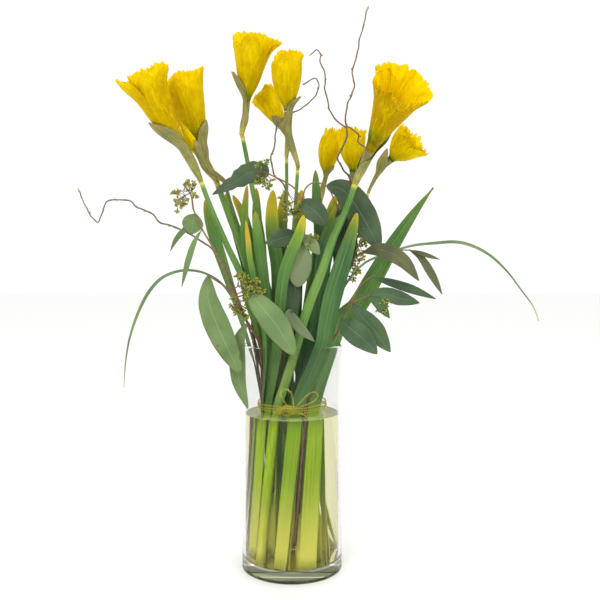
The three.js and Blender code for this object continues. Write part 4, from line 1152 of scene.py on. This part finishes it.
# Seeded eucalyptus: a thin woody stem with side twigs, leathery leaves and clusters of seed cups. A
# leaf has its line from the twig to its tip, half its width and the turn of its face, how pale it is
# and how ragged its edge; a skew under 1 puts its widest place nearer the twig. A cluster of seeds has
# the place of its tip and its size, and ripe is how tan a spray's cups may be.
sprays = [
    {
        "rim": [-28, -26], "foot": 24, "radius": 1.5,
        "upper": [
            [-35, -33, 216], [-44, -38, 231], [-50, -41, 247], [-57, -43, 266], [-68, -44, 287],
            [-78, -42, 304], [-84, -40, 318],
        ],
        "twigs": [
            [[-50, -41, 247], [-61, -43, 255], [-72, -44, 262]],
            [[-84, -40, 318], [-86, -40, 330], [-92, -40, 338]],
        ],
        "leaves": [
            {
                "line": [[-71, -44, 261], [-70, -49, 240], [-58, -53, 210], [-43, -54, 180]], "half": 10.5,
                "turn": 10,
            },
            {
                "line": [[-38, -35, 221], [-44, -43, 209], [-45, -46, 175], [-37, -47, 149]], "half": 7,
                "turn": -10,
            },
            {
                "line": [[-37, -38, 246], [-29, -46, 239], [-13, -53, 220], [2, -52, 195]], "half": 10.8,
                "turn": 5,
            },
            {"line": [[-82, -40, 314], [-84, -42, 306], [-85, -43, 296]], "half": 9, "turn": 10},
            {"line": [[-80, -41, 308], [-90, -43, 301], [-98, -43, 292], [-103, -43, 282]], "half": 2.4},
            {"line": [[-76, -42, 301], [-82, -46, 290], [-88, -46, 272], [-93, -45, 252]], "half": 2.6},
        ],
        "seeds": [
            [-87, -40, 334, 1.2], [-96, -41, 326, 1.3], [-40, -42, 254, 1.3], [-30, -41, 252, 1],
            [-46, -38, 236, 1], [-43, -38, 228, 0.8],
        ],
    },
    {
        "rim": [0, -19.5], "foot": 70, "radius": 1.2, "ripe": 0.3,
        "upper": [[2, -23, 240], [6, -26, 275], [10, -26, 308], [9, -25, 329]],
        "twigs": [
            [[9, -25, 327], [12, -26, 337], [20, -26, 342], [32, -26, 338]],
            [[9, -25, 325], [3, -24, 336], [-7, -24, 343], [-22, -24, 350]],
        ],
        "leaves": [
            {"line": [[30, -26, 339], [44, -28, 335], [60, -26, 314], [76, -24, 285]], "half": 13},
            {"line": [[40, -24, 318], [45, -16, 308], [47, -12, 284], [42, -12, 256]], "half": 11},
            {
                "line": [[-20, -24, 350], [-32, -26, 352], [-50, -28, 342], [-69, -28, 331]], "half": 8.5,
                "ragged": 0.35, "skew": 0.55,
            },
            {"line": [[8, -25, 324], [12, -30, 322], [20, -33, 316], [30, -34, 304]], "half": 9.5},
            {
                "line": [[8, -26, 288], [8, -27.5, 281], [6, -28, 266], [5, -28, 251]], "half": 11,
                "pale": 0.85,
            },
            {
                "line": [[7, -26, 295], [12, -28, 293], [18, -30, 287], [24, -30, 279]], "half": 5.5,
                "pale": 1,
            },
            {"line": [[6, -26, 296], [-3, -27, 295], [-13, -28, 292], [-23, -28, 289]], "half": 8},
            {"line": [[6, -25, 264], [1, -24, 255], [-1, -24, 240], [3, -24, 222]], "half": 9},
            {
                "line": [[2, -24, 230], [-2, -37, 228], [6, -46, 218], [19, -49, 206]], "half": 5,
                "pale": 0.6,
            },
        ],
        "seeds": [
            [-28, -26, 351, 1.5], [-4, -25, 322, 1.5], [6, -25, 316, 1.1], [16, -28, 291, 0.9],
            [-24, -26, 343, 1],
        ],
    },
    {
        "rim": [34, -16], "foot": 30, "radius": 1.4,
        "upper": [[40, -22, 212], [43, -27, 223], [50, -31, 236], [61, -33, 242], [68, -33, 245]],
        "twigs": [[[50, -31, 236], [58, -33, 252], [70, -34, 262]]],
        "leaves": [
            {"line": [[66, -33, 244], [76, -37, 246], [92, -40, 242], [108, -42, 238]], "half": 6.5},
            {"line": [[68, -34, 260], [82, -32, 256], [104, -31, 249], [124, -31, 241]], "half": 4},
            {"line": [[42, -26, 222], [50, -40, 216], [62, -43, 206], [72, -44, 195]], "half": 10},
            {
                "line": [[52, -31, 237], [60, -36, 226], [72, -37, 212], [84, -38, 196]], "half": 9,
                "turn": 5,
            },
            {"line": [[66, -33, 243], [73, -38, 238], [78, -39, 232], [83, -40, 225]], "half": 4.5},
        ],
        "seeds": [[78, -36, 236, 0.8]],
    },
    {
        "rim": [29.5, -12.5], "foot": 56, "radius": 1.2,
        "upper": [
            [36, -16, 226], [45, -20, 258], [53, -23, 275], [64, -24, 281], [80, -28, 283], [102, -32, 283],
        ],
        "twigs": [[[47, -20, 262], [53, -19, 284], [57, -20, 296]]],
        "leaves": [
            {"line": [[62, -24, 281], [76, -42, 283], [93, -48, 274], [107, -46, 257]], "half": 6.5},
            {"line": [[101, -32, 283], [110, -33, 277], [120, -33, 262], [129, -33, 245]], "half": 3.6},
            {"line": [[101, -32, 283], [108, -34, 281], [117, -36, 278], [126, -37, 275]], "half": 2},
        ],
        "seeds": [[60, -21, 297, 0.8], [56, -20, 273, 1], [60, -21, 286, 0.8], [55, -21, 262, 0.7]],
    },
]
sprayLooks = [
    {"leaf": (108, 132, 80), "dark": (82, 106, 62), "flush": 0.15},
    {"leaf": (72, 92, 62), "dark": (40, 58, 38), "flush": 0.08},
    {"leaf": (76, 102, 66), "dark": (48, 70, 48), "flush": 0.1},
    {"leaf": (92, 96, 62), "dark": (64, 70, 46), "flush": 0.3},
]
eucalyptusDefaults = {"turn": 0, "pale": 0, "ragged": 0.04, "skew": 1}
eucalyptusLooks = {
    "columns": 11, "thickness": 0.5, "veins": 26,  # pairs of side veins
    "heads": 9, "reach": 6.5,  # in a cluster of size 1, and how far they stand from its tip
    "cups": 6, "cupLength": 3.0, "cupRadius": 0.95, "cupStalk": 1.6,
}


def nearest(points, place):
    return min(points, key=lambda point: (point - place).length)


def evenTube(shape, stations, radius, sides):
    tube(shape, stations, lambda station: radius, sides)


def addLeafBlade(shape, leaf, chance):
    columns = eucalyptusLooks["columns"]
    stations = smoothLine(leaf["line"], perSpan=9)
    face = turned(toViewer, leaf["turn"])
    lean = chance.uniform(-1, 1)
    power = 0.6 if leaf["half"] > 10 else 0.8
    rows = []
    for station in stations:
        share = station.share
        along = (share * 0.99 + 0.005) ** leaf["skew"]
        half = max(0.35, leaf["half"] * math.sin(math.pi * along) ** power)
        half *= 1 + leaf["ragged"] * noise.noise(Vector((share * 9, lean * 5, 0)))
        side, out = sideAndOut(station.way, face)
        fold = half * (0.14 + 0.05 * math.sin(5 * share + lean))
        wave = 0.05 * leaf["half"] * math.sin(7 * share + 3 * lean)
        row = bladeRow(station, face, half, eucalyptusLooks["thickness"], fold, columns)
        for k, point in enumerate(row):
            x = acrossAt(min(k, 2 * columns - 1 - k), columns)
            point += out * (wave * x - 0.22 * (1 - min(1, abs(x) / 0.2)) * fade(share, 0.02, 0.1))
        rows.append(row)
    marks = {"tone": chance.uniform(0, 1), "size": leaf["half"], "pale": leaf["pale"]}
    skinBlade(shape, stations, rows, columns, 1, **marks)


# Seed cups in small heads, on stalks that branch from the tip of a thin twig
def addSeedCluster(shape, tip, size, anchor, chance, ripe):
    looks = eucalyptusLooks
    way = (tip - anchor).normalized()
    middle = anchor.lerp(tip, 0.5) + Vector((0, -0.6, 0.4))
    evenTube(shape, smoothLine([anchor, middle, tip], perSpan=5), radius=0.5, sides=8)
    side, out = anySideAndOut(way)
    heads = round(looks["heads"] * size)
    for head in range(heads):
        root = tip - way * 6 * size * head / heads
        angle = 2.4 * head + chance.uniform(-0.5, 0.5)
        lean = side * math.cos(angle) + out * 0.6 * math.sin(angle) + way * chance.uniform(0.1, 0.8)
        lean.normalize()
        end = root + lean * looks["reach"] * size * chance.uniform(0.6, 1.1)
        middle = root.lerp(end, 0.5) + up * 0.5
        evenTube(shape, smoothLine([root, middle, end], perSpan=3), radius=0.28, sides=6)
        for _ in range(looks["cups"]):
            turn = Vector((chance.gauss(0, 1), chance.gauss(0, 0.7), chance.gauss(0, 1)))
            spread = (lean * 0.7 + turn * 0.6).normalized()
            stem = [Station(end + spread * reach, spread, reach) for reach in (0, looks["cupStalk"])]
            evenTube(shape, stem, radius=0.22, sides=5)
            length = looks["cupLength"] * chance.uniform(0.6, 1)
            wide = looks["cupRadius"] * chance.uniform(0.75, 1)
            addBud(shape, stem[-1].at, spread, length, wide, 2, tone=chance.random() * ripe)


def addEucalyptus():
    twig = twigPaint()
    seed = seedPaint()
    for number, (spray, looks) in enumerate(zip(sprays, sprayLooks), 1):
        chance = random.Random(90 + number)
        shape = Shape()
        stations = stalk(spray["rim"], spray["upper"], perSpan=7, foot=spray["foot"])
        thick = spray["radius"]
        tube(shape, stations, lambda station: thick * (0.85 - 0.4 * max(0, station.share)), sides=12)
        woody = [station.at for station in stations if station.share >= 0]
        for route in spray["twigs"]:
            line = smoothLine(route, perSpan=7)
            tube(shape, line, lambda station: 0.8 - 0.25 * station.share, sides=10)
            woody += [station.at for station in line]
        for given in spray["leaves"]:
            leaf = {**eucalyptusDefaults, **given}
            root = Vector(leaf["line"][0])
            near = nearest(woody, root)
            if (near - root).length > 0.8:
                evenTube(shape, smoothLine([near, root], perSpan=4), radius=0.6, sides=8)
            addLeafBlade(shape, leaf, chance)
        for *place, size in spray["seeds"]:
            tip = Vector(place)
            addSeedCluster(shape, tip, size, nearest(woody, tip), chance, spray.get("ripe", 1.0))
        paints = [twig, eucalyptusPaint(number, looks), seed]
        makePiece(f"eucalyptus_{number}_spray", shape, paints, f"eucalyptus_{number}")
    print("eucalyptus is made")


def eucalyptusPaint(number, looks):
    paint = Paint(f"eucalyptusLeaf{number}")
    along, across, tone, wide, pale = paint.marks("along", "across", "tone", "size", "pale")
    reach = abs(across)
    clouds = paint.grain(45, 4)
    fan = (along * eucalyptusLooks["veins"] - reach * wide * 0.5 + clouds * 1.2).pingPong(0.5)
    sideVeins = 1 - fan.fade(0.0, 0.16)
    midrib = 1 - reach.fade(0.01, 0.06)
    blots = paint.grain(90, 3)

    def lighter(step):
        return [part + step for part in looks["leaf"]]

    colour = paint.coats(
        tint(*looks["dark"]),
        (clouds.fade(0.3, 0.7), looks["leaf"]),
        (tone * 0.35, lighter(16)),
        (pale, (122, 136, 96)),
        (sideVeins * 0.14, lighter(30)),
        (midrib * 0.32, lighter(46)),
        ((reach + along * 0.25).fade(0.98, 1.15) * looks["flush"], (150, 98, 66)),
        ((blots + reach * 0.12).fade(0.72, 0.78) * 0.6, (92, 66, 40)),
    )
    relief = paint.bump(sideVeins * 0.5 + midrib + clouds * 0.3, 0.4, 0.0004)
    return paint.finish(colour, 0.55 + clouds * 0.15, relief, shine=0.25)


def twigPaint():
    paint = Paint("eucalyptusTwig")
    spots = paint.grain(450, 3)
    colour = paint.coats(
        tint(86, 52, 40),
        (spots.fade(0.35, 0.65), (124, 84, 58)), (paint.height().fade(0.2, 0.34) * 0.35, (150, 142, 84)),
    )
    return paint.finish(colour, 0.5 + spots * 0.2, paint.bump(spots, 0.4))


def seedPaint():
    paint = Paint("seedCup")
    spots = paint.grain(380, 3)
    colour = paint.coats(
        tint(112, 142, 36),
        (paint.mark("tone"), (160, 146, 50)), (spots.fade(0.4, 0.66) * 0.45, (112, 84, 30)),
    )
    return paint.finish(colour, 0.5 + spots * 0.15, paint.bump(spots, 0.4))


# The cord: beaded wire in close turns round the bundle, a bow in front and a tangle under the knot
cordLooks = {
    "turns": 3, "pitch": 2.2, "ring": 30.5, "bottom": 142.1, "turnSteps": 48,
    "wire": 0.2, "bead": 0.46, "beadEvery": 2.2,  # the wire's radius and how far a bead stands off it
    "sides": 8, "step": 0.42,  # from one row of points to the next
    "tangleLoops": 7,
}
cordBow = [
    (-1, -31.6, 145.5), (-6, -32.6, 152), (-9.5, -34.5, 160), (-6.5, -35, 164), (-1, -34, 161),
    (1, -32.8, 152), (2, -32, 146.5), (6, -32.6, 151), (12, -34.4, 158), (19, -34.5, 161.5),
    (22, -34, 158), (18, -33, 153), (9, -32.2, 149), (3, -31.8, 146),
]
cordTails = [
    [(0, -31.6, 146.5), (-6, -33, 148.5), (-13, -33.4, 145.5), (-16, -33, 141)],
    [(2, -31.8, 146), (8, -33, 142.5), (13, -33.4, 140.2)],
]


def beadedWire(shape, line):  # even stations along a line, so that its beads are all alike
    looks = cordLooks
    stations = [line[0]]
    for start, end in zip(line, line[1:]):
        pieces = max(1, round((end.at - start.at).length / looks["step"]))
        for k in range(1, pieces + 1):
            at = start.at.lerp(end.at, k / pieces)
            stations.append(Station(at, start.way.lerp(end.way, k / pieces).normalized(), 0))
    runs = runLengths(stations)
    rows = []
    for station, run in zip(stations, runs):
        bead = abs(math.cos(math.pi * run / looks["beadEvery"])) ** 3
        face = up if abs(station.way.z) < 0.8 else toViewer
        rows.append(roundRow(station, looks["wire"] + looks["bead"] * bead, looks["sides"], face))
    shape.skin(rows, along=[run for run in runs for _ in range(looks["sides"])])


def addCord():
    looks = cordLooks
    shape = Shape()
    steps = looks["turnSteps"] * looks["turns"]
    coil = []
    for i in range(steps + 1):
        angle = -math.pi / 2 + 2 * math.pi * i / looks["turnSteps"]
        bumps = math.sin(5 * angle + i * 0.05)
        height = looks["bottom"] + looks["pitch"] * looks["turns"] * i / steps
        height += 1.1 * math.sin(angle + 1.2) + 0.3 * bumps
        ring = looks["ring"] + 0.25 * bumps
        at = Vector((ring * math.cos(angle), ring * math.sin(angle), height))
        way = Vector((-math.sin(angle), math.cos(angle), 0.012)).normalized()
        coil.append(Station(at, way, i / steps))
    beadedWire(shape, coil)
    for route in [cordBow] + cordTails:
        beadedWire(shape, smoothLine(route, perSpan=10))
    chance = random.Random(7)
    for _ in range(looks["tangleLoops"]):
        hub = Vector((chance.uniform(-12, 5), -33 - chance.uniform(0, 2.4), 145 + chance.uniform(-1.2, 3)))
        tilt = chance.uniform(-0.7, 0.7)
        wide = chance.uniform(2.4, 7)
        tall = chance.uniform(1.4, 3.4)
        right = Vector((math.cos(tilt), 0.1, 0.35 * math.sin(tilt))) * wide
        rise = Vector((-0.4 * math.sin(tilt), -0.3, math.cos(tilt))) * tall
        turns = [2 * math.pi * k / 8 for k in range(9)]
        loop = [hub + right * math.cos(turn) + rise * math.sin(turn) for turn in turns]
        beadedWire(shape, smoothLine(loop, perSpan=6))
    makePiece("tied_cord", shape, [cordPaint()], "cord")
    print("cord is made")


def cordPaint():
    paint = Paint("greenCord")
    strand = (paint.mark("along") * (1 / cordLooks["beadEvery"])).pingPong(0.5)
    worn = paint.grain(500, 2)
    colour = paint.coats(
        tint(196, 186, 34),
        (strand.fade(0.1, 0.4), (122, 120, 12)), (worn.fade(0.5, 0.7) * 0.4, (212, 206, 80)),
    )
    metal = {"Metallic": 0.05 + worn * 0.05}
    return paint.finish(colour, 0.4 + worn * 0.1, paint.bump(worn, 0.3, 0.0002), others=metal)


# The vase and its water, in millimetres. The glass is a little darker at its base.
vaseLooks = {
    "radius": 44.6, "height": 199, "wall": 2.8, "floor": 9.5, "corner": 3, "underside": 0.6, "sides": 160,
    "glass": (0.86, 0.86, 0.85), "base": (0.22, 0.24, 0.15), "glassBend": 1.15,
    "waterLevel": 138, "clear": 0.04,  # the water stands a hair clear of the glass
    "water": (0.9, 0.88, 0.54), "waterTop": (0.9, 0.94, 0.4), "waterBend": 1.333,
    "film": 0.34, "filmTint": (214, 220, 150),  # how much a pale film dulls the water's top
}


def lathe(shape, profile, sides):
    ways = ringWays(Vector((1, 0, 0)), Vector((0, 1, 0)), sides)
    shape.skin([[up * height + way * radius for way in ways] for radius, height in profile])


def quarter(centre, radius, start, steps):  # points of a rounded edge, from a start angle in degrees
    turns = [math.radians(start + 90 * k / steps) for k in range(steps + 1)]
    return [(centre[0] + radius * math.cos(turn), centre[1] + radius * math.sin(turn)) for turn in turns]


def floorCorner(radius, low):  # points of the rounded corner inside the vase, from its wall down
    size = vaseLooks["corner"]
    turns = (0.4, 0.8, 1.2, 1.57)
    return [(radius - size * (1 - math.cos(turn)), low + size * (1 - math.sin(turn))) for turn in turns]


def addVase():
    looks = vaseLooks
    outer = looks["radius"]
    inner = outer - looks["wall"]
    lip = looks["wall"] / 2
    top = looks["height"] - lip
    low = looks["floor"]
    under = looks["underside"]
    corner = low + looks["corner"]
    profile = [(0.01, under), (20, under), (outer - 6, under), (outer - 5, 0.5), (outer - 4, 0)]
    profile += [(outer - 2.2, 0), *quarter((outer - 1.6, 1.6), 1.6, -90, 6)]
    profile += [(outer, 1.9), (outer, 100), (outer, top - 0.3), *quarter((outer - lip, top), lip, 0, 6)]
    profile += quarter((inner + lip, top), lip, 90, 6)[1:]
    profile += [(inner, top - 0.3), (inner, 100), (inner, corner + 0.3), (inner, corner)]
    profile += [*floorCorner(inner, low), (20, low), (0.01, low)]
    shape = Shape()
    lathe(shape, profile, looks["sides"])
    level = low * mm + 0.0005
    paint = clearPaint("clearGlass", looks["base"], looks["glass"], level, looks["glassBend"])
    makePiece("glass_cylinder", shape, [paint], "vase")
    print("vase is made")


def addWater():
    looks = vaseLooks
    radius = looks["radius"] - looks["wall"] - looks["clear"]
    low = looks["floor"] + looks["clear"]
    corner = low + looks["corner"]
    top = looks["waterLevel"]
    profile = [(0.01, low), (20, low), (radius - 3.15, low), *floorCorner(radius, low)[::-1]]
    profile += [(radius, corner), (radius, corner + 0.3), (radius, 70), (radius, top - 0.1)]
    profile += [(radius, top + 0.3), (radius - 0.4, top + 0.1)]  # the water climbs the glass a little
    profile += [(radius - 0.9, top), (radius - 1.2, top), (20, top), (0.01, top)]
    shape = Shape()
    lathe(shape, profile, looks["sides"])
    colours = (looks["water"], looks["waterTop"])
    paint = clearPaint("stillWater", *colours, (top - 0.3) * mm, looks["waterBend"], looks["film"])
    makePiece("still_water", shape, [paint], "water")
    print("water is made")


# One colour below a level and another above it, where a film may dull the clear surface
def clearPaint(name, below, above, level, bend, film=0.0):
    paint = Paint(name)
    faint = paint.grain(9, 2)
    top = paint.height().fade(level - 0.0002, level + 0.0002)
    shown = paint.mix(top, below, above)
    shader = paint.shader(shown, faint * 0.01, {"IOR": bend, "Transmission Weight": 1.0})
    if film:
        dull = paint.node("ShaderNodeBsdfDiffuse", {}, {0: tint(*vaseLooks["filmTint"])})
        shader = paint.node("ShaderNodeMixShader", {}, {0: top * film, 1: shader, 2: dull})
    clear = paint.node("ShaderNodeBsdfTransparent", {}, {0: (1.0, 1.0, 1.0)})
    shadow = paint.node("ShaderNodeLightPath", result=1)
    return paint.show(paint.node("ShaderNodeMixShader", {}, {0: shadow, 1: shader, 2: clear}))


# Floor, light and sky
stageLooks = {"floorSize": 6.0, "sky": (1.0, 1.0, 1.0), "skyStrength": 1.05, "aim": (0, 0, 0.25)}
lamps = [
    {"name": "key", "at": (-0.9, -1.2, 1.5), "size": 0.7, "power": 13},
    {"name": "fill", "at": (1.3, -0.8, 0.9), "size": 1.0, "power": 6},
    {"name": "back", "at": (0.2, 1.3, 1.1), "size": 1.2, "power": 2},
]


def addStage():
    size = stageLooks["floorSize"]
    mesh = bpy.data.meshes.new("floor")
    corners = [(-size, -size, 0), (size, -size, 0), (size, size, 0), (-size, size, 0)]
    mesh.from_pydata(corners, [], [(0, 1, 2, 3)])
    floor = bpy.data.objects.new("floor", mesh)
    bpy.context.scene.collection.objects.link(floor)
    paint = Paint("paleFloor")
    faint = paint.grain(30, 3)
    colour = paint.mix(faint, tint(244, 244, 242), tint(248, 248, 246))
    mesh.materials.append(paint.show(paint.shader(colour, 0.7 + faint * 0.1, {})))
    for lamp in lamps:
        light = bpy.data.lights.new(lamp["name"], "AREA")
        light.shape = "DISK"
        light.size = lamp["size"]
        light.energy = lamp["power"]
        holder = bpy.data.objects.new(lamp["name"], light)
        holder.location = lamp["at"]
        aim = Vector(stageLooks["aim"]) - Vector(lamp["at"])
        holder.rotation_euler = aim.to_track_quat("-Z", "Y").to_euler()
        bpy.context.scene.collection.objects.link(holder)
    world = bpy.data.worlds.new("studio")
    world.use_nodes = True
    sky = world.node_tree.nodes["Background"]
    sky.inputs["Color"].default_value = (*stageLooks["sky"], 1)
    sky.inputs["Strength"].default_value = stageLooks["skyStrength"]
    bpy.context.scene.world = world
    bpy.context.scene.view_settings.view_transform = "Standard"
    print("stage and light are set")


addCord()
addDaffodils()
addStrapLeaves()
addLilyGrass()
addCurlyWillow()
addEucalyptus()
addVase()
addWater()
addStage()
print("scene is complete")
